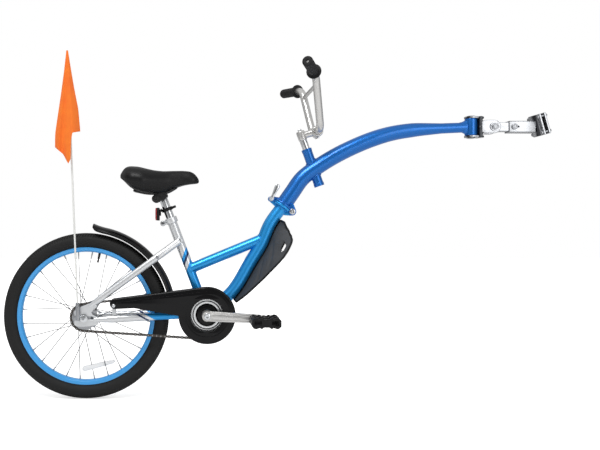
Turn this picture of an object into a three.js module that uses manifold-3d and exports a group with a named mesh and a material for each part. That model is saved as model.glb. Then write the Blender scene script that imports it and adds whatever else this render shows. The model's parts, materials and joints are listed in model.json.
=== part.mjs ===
// A one-wheel trailer bike: wheel, folding frame, chain drive, curved tow arm and seat-post hitch.
// Millimetres. +X is forward, +Y is the bike's left, +Z is up, and the drive side faces -Y.
// The origin is the middle of the clamp that grips the towing bike's seat post.
import * as THREE from "three";
import { mergeVertices } from "three/addons/utils/BufferGeometryUtils.js";
import Module from "manifold-3d";

const wasm = await Module();
wasm.setup();

// Fits
const gap = 0.3; // between pieces that touch
const overrun = 6; // how far a cut runs past its piece
const weld = 1; // how far a welded piece reaches into the next

// Side view: where the main points lie from the origin
const layout = {
  axleBack: 1383.6,
  axleDrop: 582,
  bracketRise: 8,
  seatTubeLength: 311,
  seatTubeLean: THREE.MathUtils.degToRad(20.8),
  foldBack: 783.5,
  foldDrop: 246.5,
  foldSlope: THREE.MathUtils.degToRad(54),
  yawBack: 209,
  pitchBack: 145,
  hitchDrop: 7,
};

// Chain drive
const drive = {
  pitch: 12.7,
  links: 86,
  ringTeeth: 36,
  cogTeeth: 20,
  lineOffset: 45,
  rollerHalf: 3.2,
  innerWidth: 3.4,
  plateThickness: 1,
  plateHalfHeight: 4,
  waistHalfHeight: 2.9,
  toothThickness: 2.6,
  toothHeight: 3.4,
  toothSlack: 1.1,
  tipHalfWidth: 1,
};

// Wheel
const wheel = {
  tyreRadius: 252,
  tyreDepth: 49, // from the tread to the rim's seat
  tyreWidth: 47,
  treadThickness: 5,
  wallThickness: 3,
  beadThickness: 3.5,
  rimFlangeHeight: 6,
  rimShoulderDepth: 3,
  rimDepth: 8,
  rimWidth: 27,
  rimFloorWidth: 15,
  flangeThickness: 1.5,
  spokes: 28,
  crossings: 2,
  spokeRadius: 1,
  hubFlangeRadius: 29,
  hubHoleRadius: 25,
  hubFlangeSpacing: 58,
  hubFlangeThickness: 3,
  hubShellRadius: 16,
  hubEndRadius: 12,
  hubWidth: 68,
  rimSpokeOffset: 2,
  valveRadius: 4,
  valveReach: 30,
  valveAngle: THREE.MathUtils.degToRad(78),
};

// Axle and what it carries at the dropouts
const axle = {
  radius: 5,
  dropoutSpacing: 110,
  dropoutThickness: 5,
  tensionerThickness: 2,
  nutRadius: 9,
  nutThickness: 8,
  threadEnd: 3,
  tensionerEyeRadius: 11,
  tensionerCapRadius: 6,
  tensionerScrewRadius: 4,
  tensionerScrewReach: 8,
};

// Main frame tubes
const frame = {
  bracketRadius: 20,
  bracketWidth: 68,
  cupRadius: 22,
  cupThickness: 3,
  seatTubeRadius: 14.3,
  seatPostRadius: 12.7,
  seatBoreDepth: 200,
  topTubeRadius: 15.9,
  topTubeHeight: 144,
  downTubeRadius: 19.05,
  chainStayRadius: 11,
  stayHalfBreadth: 8,
  seatStayRadius: 10.5,
  seatStayHeight: 235,
  bridgeRadius: 7,
  tyreRoom: 5,
  stayInset: 4,
  stayKneeAhead: 36,
  stayKneeInside: 15,
  seatStayBend: 40,
  seatStayRoom: 2,
  dropoutBack: 28,
  dropoutDrop: 28,
  dropoutAhead: 44,
  dropoutRise: 46,
};
const topTubeFrontShare = 0.72;
const seatStayKneeShare = 0.74;
const dropoutOutlineShares = [
  [-1, -0.75],
  [-0.6, -0.95],
  [0.3, -0.9],
  [1, -0.75],
  [1, 0.02],
  [0.45, 0.3],
  [0.95, 0.8],
  [0.55, 1],
  [-0.2, 0.75],
  [-1, 0.45],
];

// Fold joint
const fold = {
  pinAhead: 31.5,
  flangeRadius: 33,
  flangeThickness: 8,
  knuckleRadius: 12,
  knuckleHalfWidth: 9,
  knuckleReach: 15,
  pinRadius: 5,
  pinHeadRadius: 9,
  pinHeadThickness: 4,
  skewerBehind: 42,
  skewerBelow: 5,
  skewerRadius: 3,
  earRadius: 8,
  earThickness: 6,
  slotSlack: 1.4,
  gussetLength: 46,
  gussetThickness: 5,
  leverSlope: THREE.MathUtils.degToRad(65),
};
const foldRelease = {
  skewerRadius: fold.skewerRadius,
  nutRadius: 7,
  camSeat: 3,
  camRadius: 5,
  camHalf: 6,
  leverLength: 48,
  leverWidth: 16,
  leverThickness: 6,
};

// Tow arm
const arm = {
  radius: 24.5,
  neckRadius: 15,
  sleeveRadius: 18.5,
  flareLength: 12,
  flareInset: 1.5,
  sleeveHeight: 51,
  headTubeRadius: 14.8,
  headTubeLength: 120,
  headTubeLean: THREE.MathUtils.degToRad(19.6),
  headTubeAhead: 91.5,
  headTubeBelow: 128.5,
};

// The arm's route and the down tube's, as shares of each one's reach and rise
const armRouteShares = [
  [0, 0],
  [0.048, 0.165],
  [0.105, 0.353],
  [0.2045, 0.528],
  [0.3125, 0.678],
  [0.4535, 0.829],
  [0.57, 0.9165],
  [0.685, 0.962],
  [0.8, 0.98],
  [1, 1],
];
const downTubeRouteShares = [
  [0, 0],
  [0.334, 0.2015],
  [0.574, 0.479],
  [0.7195, 0.65],
  [0.8287, 0.8305],
  [1, 1],
];
const armRadiusShares = [
  [0, 1],
  [0.55, 0.96],
  [0.72, 0.88],
  [0.86, 0.64],
  [1, 0.61],
];

// Hitch
const hitch = {
  boltRadius: 8,
  boltHeadRadius: 11,
  boltHeadThickness: 6,
  washerRadius: 14,
  washerThickness: 2.5,
  yawHeadRadius: 13,
  yawHeadThickness: 2.5,
  plateThickness: 6,
  plateRadius: 20,
  webThickness: 10,
  earReach: 20,
  tongueSize: 27,
  tongueEnd: 34,
  receiverSize: 35,
  receiverBack: 99,
  pinBack: 84,
  pinRadius: 6,
  pinHeadRadius: 9,
  pinHeadThickness: 6,
  lockHoleBack: 71,
  lockHoleRadius: 3,
  postRadius: 14.3,
  insertThickness: 3,
  shellThickness: 6,
  clampHeight: 65,
  clampLean: THREE.MathUtils.degToRad(15.6),
  splitGap: 9,
  gripSplitGap: 2,
  lugThickness: 6,
  lugReach: 13,
  boltInset: 8.5,
  clampBoltRadius: 3,
  clampBoltHeadRadius: 5.5,
  clampBoltHeadThickness: 5,
};

// Stem and handlebar
const bars = {
  quillRadius: 11.1,
  quillInsert: 85,
  headAbove: 43,
  headRadius: 13,
  headHeight: 30,
  boltRadius: 6,
  boltTopRadius: 4.8,
  boltHeight: 6,
  extensionRadius: 11,
  extensionEndRadius: 12,
  barAhead: 46,
  barAbove: 12.5,
  clampRadius: 17,
  clampHalfWidth: 20,
  clampSlit: 2,
  tubeRadius: 11.1,
  halfWidth: 242,
  rise: 160,
  sweepBack: 67,
  bendRadius: 25,
  crossbarRadius: 6,
  crossbarRise: 123,
  gripLength: 96,
  gripRadius: 15,
  gripFlangeRadius: 21.5,
  gripFlangeThickness: 4,
  gripEndThickness: 5,
  gripHoleRadius: 4,
};
const barRouteShares = [
  [1, 1, 1],
  [0.52, 0.93, 0.37],
  [0.27, 0, 0],
  [0, 0, 0],
];

// Saddle and seat clamp
const seat = {
  postTop: 62,
  postInsert: 120,
  collarRadius: 18.5,
  collarHeight: 17,
  collarSlit: 3,
  earBack: 27.5,
  earRadius: 6.5,
  earThickness: 6,
  skewerRadius: 3,
  leverSlope: THREE.MathUtils.degToRad(24),
  clampRadius: 14,
  clampHalfWidth: 29,
  clampSeat: 8,
  railRadius: 3.5,
  railSunk: 5.6,
  railBend: 18,
  railSpread: 22,
  saddleLength: 240,
  saddleWidth: 158,
  saddleBehind: 128,
  saddleHeight: 71,
  saddleTop: 92,
  skirtDepth: 16,
  railRoom: 0.8,
};
const seatRelease = {
  skewerRadius: seat.skewerRadius,
  nutRadius: 8,
  camSeat: 9,
  camRadius: 5,
  camHalf: 6,
  leverLength: 44,
  leverWidth: 12,
  leverThickness: 6,
};
const railShares = { rear: 0.72, rearFlat: 0.4, frontFlat: 0.2, front: 0.5 };
const saddleWidthShares = [
  [0, 0.42],
  [0.06, 0.78],
  [0.16, 0.98],
  [0.3, 1],
  [0.46, 0.72],
  [0.62, 0.44],
  [0.8, 0.31],
  [0.95, 0.26],
  [1, 0.17],
];
const saddleTopShares = [
  [0, 0.66],
  [0.05, 0.93],
  [0.12, 1],
  [0.24, 0.99],
  [0.42, 0.86],
  [0.55, 0.8],
  [0.8, 0.79],
  [0.9, 0.73],
  [0.97, 0.57],
  [1, 0.4],
];
const saddleFloorShares = [
  [0, 0.6],
  [0.1, 0.16],
  [0.16, 0],
  [0.66, 0],
  [0.8, 0.18],
  [1, 0.5],
];
const saddleSkirtShares = [
  [0, 0],
  [0.1, 0],
  [0.22, 1],
  [0.44, 1],
  [0.6, 0],
  [1, 0],
];
const saddleCrownShare = 0.42;
const saddleDrawInShare = 0.22;
const saddleEdgeShare = 0.08;

// Cranks and pedals
const pedalWaistShare = 0.8;
const crank = {
  length: 165,
  tilt: THREE.MathUtils.degToRad(-3),
  spindleRadius: 8.5,
  bossRadius: 16,
  bossEnd: 90,
  bossStart: 50,
  armInner: 74,
  armThickness: 14,
  eyeRadius: 13,
  bevel: 3,
  boltRadius: 10,
  boltThickness: 5,
  pedalSpindleRadius: 6,
  spindleCollarRadius: 8,
  spindleCollar: 3,
  pedalWidth: 88,
  pedalLength: 83,
  pedalHeight: 28,
  pedalRail: 9,
  barrelRadius: 10,
  ringHubRadius: 30,
  ringFaceRadius: 50,
  ringGrooveRadius: 43,
  ringGrooveInner: 39,
  ringStep: 3,
};

// Guards
const guard = {
  discRadius: 85,
  openingRadius: 48.5,
  outerFace: 70,
  innerFace: 52,
  wall: 2.5,
  bevel: 4,
  armLength: 273,
  armRise: 35,
  armEndRadius: 16,
  bossRadius: 6,
  screwRadius: 2.5,
  screwHeadRadius: 5.5,
  screwHeadThickness: 2.5,
  tabThickness: 2.6,
  tabWidth: 14,
};
const mudguard = {
  tyreRoom: 23,
  depth: 19,
  width: 62,
  thickness: 2.5,
  flare: 7,
  flareShare: 0.1,
  rearAngle: THREE.MathUtils.degToRad(85.4),
  frontAngle: THREE.MathUtils.degToRad(7),
  tabWidth: 24,
  tabShare: 1.4,
};
const splash = {
  thickness: 3,
  halfWidth: 80,
  reach: 54,
  standOff: 1.5,
  topShare: 0.9,
  bottomShare: 0.22,
  sweepPower: 1.6,
};
const splashReachShares = [
  [0, 0.1],
  [0.06, 0.65],
  [0.18, 0.98],
  [0.3, 0.94],
  [0.45, 0.84],
  [0.64, 0.72],
  [0.86, 0.36],
  [1, 0.1],
];
const splashWidthShares = [
  [0, 0.32],
  [0.25, 0.95],
  [0.42, 1],
  [0.75, 0.62],
  [1, 0.36],
];

// Reflectors and flag
const reflector = {
  width: 50,
  height: 39,
  thickness: 12,
  corner: 8,
  ringRadius: 17,
  ringHeight: 10,
  along: 27,
  screwReach: 11,
  screwRadius: 4,
  spokeLength: 104,
  spokeWidth: 16,
  spokeThickness: 9,
  spokeBevel: 1,
  spokeRadius: 156,
  spokeAngle: THREE.MathUtils.degToRad(-76),
};
const flag = {
  poleRadius: 2.8,
  poleLength: 793,
  poleLean: THREE.MathUtils.degToRad(2.3),
  socketRadius: 6,
  socketLength: 46,
  plateThickness: 2,
  plateRadius: 10,
  clothThickness: 1.6,
  clothWidth: 70,
  clothHeight: 330,
  foldDepth: 15,
  folds: 2.5,
};
const clothLeftShares = [
  [0, 0.1],
  [0.3, 0.26],
  [1, 0.62],
];
const clothRightShares = [
  [0, 0.06],
  [0.4, 0.28],
  [1, 0.42],
];
const clothRightHemShare = 0.72;

// Directions and places
const forward = new THREE.Vector3(1, 0, 0);
const left = new THREE.Vector3(0, 1, 0);
const up = new THREE.Vector3(0, 0, 1);
const at = (x, y, z) => new THREE.Vector3(x, y, z);
const along = (start, direction, distance) => start.clone().addScaledVector(direction, distance);
const offset = (point, y) => at(point.x, point.y + y, point.z);
const heading = (angle) => at(Math.cos(angle), 0, Math.sin(angle));

// A value between the steps of a table of shares
function between(table, share) {
  const next = table.findIndex(([place]) => place >= share);
  if (next <= 0) return table[0][1];
  const [a, low] = table[next - 1];
  const [b, high] = table[next];
  return THREE.MathUtils.lerp(low, high, (share - a) / (b - a));
}

// A closed geometry as a solid that can be cut and joined, its faces turned outwards
function solidOf(geometry) {
  const bare = geometry.clone();
  bare.deleteAttribute("normal");
  bare.deleteAttribute("uv");
  const merged = mergeVertices(bare, 1e-4);
  const { array } = merged.getAttribute("position");
  const index = merged.index.array;
  const triangles = [];
  let volume = 0;
  const [a, b, c] = [at(0, 0, 0), at(0, 0, 0), at(0, 0, 0)];
  for (let i = 0; i < index.length; i += 3) {
    const [p, q, r] = [index[i], index[i + 1], index[i + 2]];
    if (p === q || q === r || r === p) continue;
    triangles.push(p, q, r);
    a.fromArray(array, 3 * p);
    b.fromArray(array, 3 * q);
    c.fromArray(array, 3 * r);
    volume += a.dot(b.cross(c));
  }
  if (volume < 0) triangles.reverse();
  return new wasm.Manifold(
    new wasm.Mesh({ numProp: 3, vertProperties: array, triVerts: new Uint32Array(triangles) }),
  );
}

function geometryOf(solid) {
  const mesh = solid.getMesh();
  const geometry = new THREE.BufferGeometry();
  geometry.setAttribute("position", new THREE.Float32BufferAttribute(mesh.vertProperties, 3));
  geometry.setIndex(new THREE.Uint32BufferAttribute(mesh.triVerts, 1));
  return geometry;
}

const join = (...solids) => solids.reduce((sum, solid) => sum.add(solid));
const cut = (base, ...tools) => tools.reduce((rest, tool) => rest.subtract(tool), base);

// A solid turned about an axis through a pivot
function turned(solid, axisDirection, angle, pivot = at(0, 0, 0)) {
  const geometry = geometryOf(solid);
  geometry.translate(-pivot.x, -pivot.y, -pivot.z);
  geometry.applyMatrix4(new THREE.Matrix4().makeRotationAxis(axisDirection, angle));
  geometry.translate(pivot.x, pivot.y, pivot.z);
  return solidOf(geometry);
}

// A unit geometry whose vertices are each moved to the place that a function gives
function formed(geometry, placeOf) {
  const position = geometry.getAttribute("position");
  const vertex = at(0, 0, 0);
  for (let i = 0; i < position.count; i++) {
    vertex.fromBufferAttribute(position, i);
    const place = placeOf(vertex.x, vertex.y, vertex.z);
    position.setXYZ(i, place.x, place.y, place.z);
  }
  return solidOf(geometry);
}

// A round bar between two points; the far end may have its own radius
function rod(from, to, radius, sides = 10, endRadius = radius) {
  const way = to.clone().sub(from);
  const geometry = new THREE.CylinderGeometry(endRadius, radius, way.length(), sides);
  geometry.translate(0, way.length() / 2, 0);
  geometry.applyQuaternion(new THREE.Quaternion().setFromUnitVectors(left, way.normalize()));
  geometry.translate(from.x, from.y, from.z);
  return solidOf(geometry);
}

// A round bar along Y through a point of the side view, between two places across the bike
const crossRod = (point, y0, y1, radius, sides = 10) =>
  rod(at(point.x, y0, point.z), at(point.x, y1, point.z), radius, sides);

// The same for a bore, whose flats lie outside the radius so that a round piece runs in it
const hole = (from, to, radius, sides = 10) => rod(from, to, radius / Math.cos(Math.PI / sides), sides);
const crossHole = (point, y0, y1, radius, sides = 10) =>
  crossRod(point, y0, y1, radius / Math.cos(Math.PI / sides), sides);

function block(center, x, y, z) {
  const geometry = new THREE.BoxGeometry(x, y, z);
  geometry.translate(center.x, center.y, center.z);
  return solidOf(geometry);
}

// A profile of [radius, place across] pairs revolved about the Y axis through a point
function revolved(profile, point, sides) {
  const closed = [...profile, profile[0]].map(([radius, y]) => new THREE.Vector2(radius, y));
  const geometry = new THREE.LatheGeometry(closed, sides);
  geometry.translate(point.x, point.y, point.z);
  return solidOf(geometry);
}

// A side-view outline given thickness across the bike, from one place to another
function sidePlate(shape, y0, y1, bevel = 0, curveSegments = 4) {
  const low = Math.min(y0, y1);
  const high = Math.max(y0, y1);
  const geometry = new THREE.ExtrudeGeometry(shape, {
    depth: high - low - 2 * bevel,
    bevelEnabled: bevel > 0,
    bevelThickness: bevel,
    bevelSize: bevel,
    bevelOffset: -bevel,
    bevelSegments: 1,
    curveSegments,
  });
  geometry.translate(0, 0, bevel - high);
  geometry.rotateX(Math.PI / 2);
  return solidOf(geometry);
}

// A closed tube along a curve, whose radius may change; breadth is its width across over its height
function sweep(curve, steps, sides, radiusAt, { side = left, breadth = 1 } = {}) {
  return formed(new THREE.CylinderGeometry(1, 1, 1, sides, steps), (x, y, z) => {
    const share = THREE.MathUtils.clamp(y + 1 / 2, 0, 1);
    const tangent = curve.getTangentAt(share);
    const across = side.clone().addScaledVector(tangent, -side.dot(tangent)).normalize();
    const over = tangent.clone().cross(across);
    return curve
      .getPointAt(share)
      .addScaledVector(across, x * radiusAt(share) * breadth)
      .addScaledVector(over, z * radiusAt(share));
  });
}

// A route of straight runs with rounded corners
function bentRoute(points, bend) {
  const route = new THREE.CurvePath();
  let start = points[0];
  for (let i = 1; i + 1 < points.length; i++) {
    const corner = points[i];
    const into = corner.clone().sub(points[i - 1]);
    const out = points[i + 1].clone().sub(corner);
    const reach = Math.min(bend, into.length() / 2, out.length() / 2);
    const a = along(corner, into.normalize(), -reach);
    const b = along(corner, out.normalize(), reach);
    route.add(new THREE.LineCurve3(start, a));
    route.add(new THREE.QuadraticBezierCurve3(a, corner, b));
    start = b;
  }
  route.add(new THREE.LineCurve3(start, points.at(-1)));
  return route;
}

// A smooth route in the side view, whose points are shares of the way between two places
const shareRoute = (from, to, shares) =>
  new THREE.CatmullRomCurve3(
    shares.map(([x, z]) => {
      const reach = THREE.MathUtils.lerp(from.x, to.x, x);
      return at(reach, 0, THREE.MathUtils.lerp(from.z, to.z, z));
    }),
  );

// An outline round two circles, joined by their outer tangents
function linkShape(a, radiusA, b, radiusB) {
  const way = Math.atan2(b.z - a.z, b.x - a.x);
  const spread = Math.acos((radiusA - radiusB) / Math.hypot(b.x - a.x, b.z - a.z));
  const shape = new THREE.Shape();
  shape.absarc(a.x, a.z, radiusA, way + spread, way - spread + 2 * Math.PI, false);
  shape.absarc(b.x, b.z, radiusB, way - spread, way + spread, false);
  shape.closePath();
  return shape;
}

function outline(points) {
  return new THREE.Shape(points.map(([x, z]) => new THREE.Vector2(x, z)));
}

// Chain length sets the distance between the axle and the bottom bracket
const pitchRadius = (teeth) => drive.pitch / (2 * Math.sin(Math.PI / teeth));
const ringRadius = pitchRadius(drive.ringTeeth);
const cogRadius = pitchRadius(drive.cogTeeth);
function pitchesRound(distance) {
  const tilt = Math.asin((ringRadius - cogRadius) / distance);
  const straight = (2 * distance * Math.cos(tilt)) / drive.pitch;
  const onRing = (drive.ringTeeth * (Math.PI + 2 * tilt)) / (2 * Math.PI);
  const onCog = (drive.cogTeeth * (Math.PI - 2 * tilt)) / (2 * Math.PI);
  return straight + onRing + onCog;
}
function stayLengthFor(links) {
  let low = ringRadius + cogRadius;
  let high = links * drive.pitch;
  while (high - low > 1e-7) {
    const middle = (low + high) / 2;
    if (pitchesRound(middle) < links) low = middle;
    else high = middle;
  }
  return low;
}
const stayLength = stayLengthFor(drive.links);

// Main points
const axlePoint = at(-layout.axleBack, 0, -layout.axleDrop);
const stayTilt = Math.asin(layout.bracketRise / stayLength);
const bracketPoint = along(axlePoint, heading(stayTilt), stayLength);
const seatLine = at(-Math.sin(layout.seatTubeLean), 0, Math.cos(layout.seatTubeLean));
const seatTop = along(bracketPoint, seatLine, layout.seatTubeLength);
const foldPoint = at(-layout.foldBack, 0, -layout.foldDrop);
const foldLine = heading(layout.foldSlope);
const foldAcross = heading(layout.foldSlope - Math.PI / 2);
const pinPoint = along(foldPoint, foldAcross, fold.pinAhead);
const foldSkewer = along(along(foldPoint, foldAcross, -fold.skewerBehind), foldLine, -fold.skewerBelow);
const yawPoint = at(-layout.yawBack, 0, -layout.hitchDrop);
const pitchPoint = at(-layout.pitchBack, 0, -layout.hitchDrop);

const downTubeRoute = shareRoute(bracketPoint, foldPoint, downTubeRouteShares);
const armRoute = shareRoute(foldPoint, yawPoint, armRouteShares);

// Materials
const paint = (color, roughness, metalness) =>
  new THREE.MeshStandardMaterial({ color, roughness, metalness });
const framePaint = paint(0x2f8fe0, 0.3, 0.5);
const armPaint = paint(0x1f66c0, 0.3, 0.5);
const rimPaint = paint(0x4aa3e8, 0.35, 0.4);
const silverPaint = paint(0xd4d6d8, 0.35, 0.6);
const chrome = paint(0xd8dadc, 0.12, 1);
const steel = paint(0xb4b6b8, 0.3, 1);
const blackPlastic = paint(0x17181a, 0.5, 0);
const rubber = paint(0x1a1a1b, 0.8, 0);
const redLens = paint(0xc81420, 0.15, 0);
const clearLens = paint(0xe9edf0, 0.1, 0);
const orangeCloth = paint(0xff7a1a, 0.85, 0);
const whiteGlassFibre = paint(0xf2f2ef, 0.4, 0);

const bike = new THREE.Group();
function piece(name, solid, material) {
  const mesh = new THREE.Mesh(geometryOf(solid), material);
  mesh.name = name;
  bike.add(mesh);
}

// Wheel: tyre with its open casing, rim channel, crossed spokes
const wheelSides = 40;
const rimSeatRadius = wheel.tyreRadius - wheel.tyreDepth;
const rimRadius = rimSeatRadius + wheel.rimFlangeHeight;
const rimShoulderRadius = rimSeatRadius - wheel.rimShoulderDepth;
const rimInnerRadius = rimSeatRadius - wheel.rimDepth;
function tyre() {
  const half = wheel.tyreWidth / 2;
  const bead = wheel.rimWidth / 2 - wheel.flangeThickness - gap;
  const seatRadius = rimSeatRadius + gap;
  const neckShare = Math.sqrt(1 - (bead / half) ** 2);
  const height = (wheel.tyreRadius - rimRadius - gap) / (1 + neckShare);
  const center = wheel.tyreRadius - height;
  const arc = (high, wide, neck, steps) => {
    const start = -Math.acos(neck / wide);
    return Array.from({ length: steps + 1 }, (_, i) => {
      const angle = THREE.MathUtils.lerp(start, Math.PI - start, i / steps);
      return [center + high * Math.sin(angle), wide * Math.cos(angle)];
    });
  };
  const inner = bead - wheel.beadThickness;
  const outside = arc(height, half, bead, 9);
  const inside = arc(height - wheel.treadThickness, half - wheel.wallThickness, inner, 3).reverse();
  const profile = [
    [seatRadius, bead],
    ...outside,
    [seatRadius, -bead],
    [seatRadius, -inner],
    ...inside,
    [seatRadius, inner],
  ];
  return revolved(profile, axlePoint, wheelSides);
}

function rim() {
  const half = wheel.rimWidth / 2;
  const channel = half - wheel.flangeThickness;
  const floor = wheel.rimFloorWidth / 2;
  const band = revolved(
    [
      [rimInnerRadius, -floor],
      [rimInnerRadius, floor],
      [rimShoulderRadius, half],
      [rimRadius, half],
      [rimRadius, channel],
      [rimSeatRadius, channel],
      [rimSeatRadius, -channel],
      [rimRadius, -channel],
      [rimRadius, -half],
      [rimShoulderRadius, -half],
    ],
    axlePoint,
    wheelSides,
  );
  const outward = heading(wheel.valveAngle);
  const valve = rod(
    along(axlePoint, outward, rimInnerRadius - wheel.valveReach),
    along(axlePoint, outward, rimInnerRadius + weld),
    wheel.valveRadius,
    8,
  );
  return join(band, valve);
}

function hubAndSpokes() {
  const flange = wheel.hubFlangeSpacing / 2;
  const thick = wheel.hubFlangeThickness / 2;
  const end = wheel.hubWidth / 2;
  const bore = axle.radius + gap;
  const shell = revolved(
    [
      [bore, -end],
      [wheel.hubEndRadius, -end],
      [wheel.hubEndRadius, -flange - thick],
      [wheel.hubFlangeRadius, -flange - thick],
      [wheel.hubFlangeRadius, -flange + thick],
      [wheel.hubShellRadius, -flange + 4 * thick],
      [wheel.hubShellRadius, flange - 4 * thick],
      [wheel.hubFlangeRadius, flange - thick],
      [wheel.hubFlangeRadius, flange + thick],
      [wheel.hubEndRadius, flange + thick],
      [wheel.hubEndRadius, end],
      [bore, end],
    ],
    axlePoint,
    12,
  );
  const step = (2 * Math.PI) / wheel.spokes;
  const first = wheel.valveAngle + step / 2;
  const spokes = Array.from({ length: wheel.spokes }, (_, i) => {
    const side = i % 2 ? 1 : -1;
    const lean = i % 4 < 2 ? 1 : -1;
    const rimAngle = first + i * step;
    const hubAngle = rimAngle + lean * wheel.crossings * 2 * step;
    const head = side * (flange + lean * (thick + wheel.spokeRadius) * (2 / 3));
    const root = offset(along(axlePoint, heading(hubAngle), wheel.hubHoleRadius), head);
    const tip = offset(
      along(axlePoint, heading(rimAngle), rimInnerRadius * Math.cos(Math.PI / wheelSides) - gap),
      side * wheel.rimSpokeOffset,
    );
    return rod(root, tip, wheel.spokeRadius, 4);
  });
  return join(shell, ...spokes);
}

function spokeReflector() {
  const middle = along(axlePoint, heading(reflector.spokeAngle), reflector.spokeRadius);
  const run = heading(reflector.spokeAngle + Math.PI / 2);
  const half = (reflector.spokeLength - reflector.spokeWidth) / 2;
  const radius = reflector.spokeWidth / 2;
  const shape = linkShape(along(middle, run, -half), radius, along(middle, run, half), radius);
  const halfThickness = reflector.spokeThickness / 2;
  return sidePlate(shape, -halfThickness, halfThickness, reflector.spokeBevel);
}

piece("tyre", tyre(), rubber);
piece("rim", rim(), rimPaint);
piece("hub_and_spokes", hubAndSpokes(), steel);
piece("spoke_reflector", spokeReflector(), clearLens);

// Places across the bike at the dropouts, from the inside out
const dropoutInner = axle.dropoutSpacing / 2;
const dropoutOuter = dropoutInner + axle.dropoutThickness;
const tensionerOuter = dropoutOuter + gap + axle.tensionerThickness;
const bracketOuter = tensionerOuter + gap + flag.plateThickness;

// Axle with its nuts: the one on the drive side also holds the flag's bracket
function axleWithNuts() {
  const bar = crossRod(
    axlePoint,
    -bracketOuter - gap - axle.nutThickness - axle.threadEnd,
    tensionerOuter + gap + axle.nutThickness + axle.threadEnd,
    axle.radius,
    12,
  );
  const rightNut = crossRod(
    axlePoint,
    -bracketOuter - gap - axle.nutThickness,
    -bracketOuter - gap,
    axle.nutRadius,
    6,
  );
  const leftNut = crossRod(
    axlePoint,
    tensionerOuter + gap,
    tensionerOuter + gap + axle.nutThickness,
    axle.nutRadius,
    6,
  );
  return join(bar, rightNut, leftNut);
}
piece("axle_with_nuts", axleWithNuts(), steel);

// Chain tensioner: an eye on the axle, drawn back by a screw through a cap over the dropout's end
function chainTensioner(side) {
  const inner = side * (dropoutOuter + gap);
  const outer = side * tensionerOuter;
  const end = at(axlePoint.x - frame.dropoutBack - gap, 0, axlePoint.z);
  const strap = linkShape(axlePoint, axle.tensionerEyeRadius, end, axle.tensionerCapRadius);
  const cap = block(
    at(end.x - axle.tensionerThickness / 2, (side * (dropoutInner + tensionerOuter)) / 2, end.z),
    axle.tensionerThickness,
    tensionerOuter - dropoutInner,
    frame.dropoutBack,
  );
  const screwStart = offset(end, inner);
  const screwEnd = along(screwStart, forward, -axle.tensionerScrewReach);
  const screw = rod(screwStart, screwEnd, axle.tensionerScrewRadius, 6);
  const bore = crossHole(axlePoint, inner - side * overrun, outer + side * overrun, axle.radius + gap);
  return cut(join(sidePlate(strap, inner, outer), cap, screw), bore);
}

// Sprocket outline: a tapered tooth for each gap between rollers
function sprocketShape(center, teeth, seatAngle) {
  const radius = pitchRadius(teeth);
  const rootHalf = drive.pitch / 2 - drive.rollerHalf - drive.toothSlack;
  const corners = [
    [-rootHalf, -drive.plateHalfHeight - gap],
    [-drive.tipHalfWidth, drive.toothHeight],
    [drive.tipHalfWidth, drive.toothHeight],
    [rootHalf, -drive.plateHalfHeight - gap],
  ];
  const points = [];
  for (let i = 0; i < teeth; i++) {
    const angle = seatAngle + (2 * Math.PI * (i + 1 / 2)) / teeth;
    const side = heading(angle + Math.PI / 2);
    for (const [width, height] of corners) {
      const corner = along(along(center, heading(angle), radius + height), side, width);
      points.push([corner.x, corner.z]);
    }
  }
  return outline(points);
}
const chainLine = -drive.lineOffset;
const toothHalf = drive.toothThickness / 2;

// Chainring: pressed disc with raised bands, carried on the crank's boss
function chainring() {
  const teeth = sidePlate(
    sprocketShape(bracketPoint, drive.ringTeeth, stayTilt),
    chainLine - toothHalf,
    chainLine + toothHalf,
  );
  const face = chainLine - toothHalf;
  const dish = revolved(
    [
      [crank.spindleRadius, chainLine],
      [crank.spindleRadius, -crank.bossStart - crank.ringStep],
      [crank.ringHubRadius, -crank.bossStart - crank.ringStep],
      [crank.ringHubRadius, face - crank.ringStep],
      [crank.ringGrooveInner, face - crank.ringStep],
      [crank.ringGrooveInner, face - crank.ringStep / 3],
      [crank.ringGrooveRadius, face - crank.ringStep / 3],
      [crank.ringGrooveRadius, face - crank.ringStep],
      [crank.ringFaceRadius - crank.ringStep, face - crank.ringStep],
      [crank.ringFaceRadius, chainLine],
    ],
    bracketPoint,
    18,
  );
  return cut(join(teeth, dish), crossHole(bracketPoint, 0, -crank.armInner, crank.bossRadius + gap, 16));
}
piece("chainring", chainring(), chrome);

// Rear cog on its freewheel body
function rearCog() {
  const teeth = sidePlate(
    sprocketShape(axlePoint, drive.cogTeeth, stayTilt + Math.PI),
    chainLine - toothHalf,
    chainLine + toothHalf,
  );
  const bodyInner = -wheel.hubWidth / 2 - gap;
  const bodyOuter = -dropoutInner + gap;
  const body = crossRod(axlePoint, bodyInner, bodyOuter, wheel.hubHoleRadius, drive.cogTeeth);
  return cut(join(teeth, body), crossHole(axlePoint, 0, -dropoutOuter, axle.radius + gap, 12));
}
piece("rear_cog", rearCog(), steel);

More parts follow.
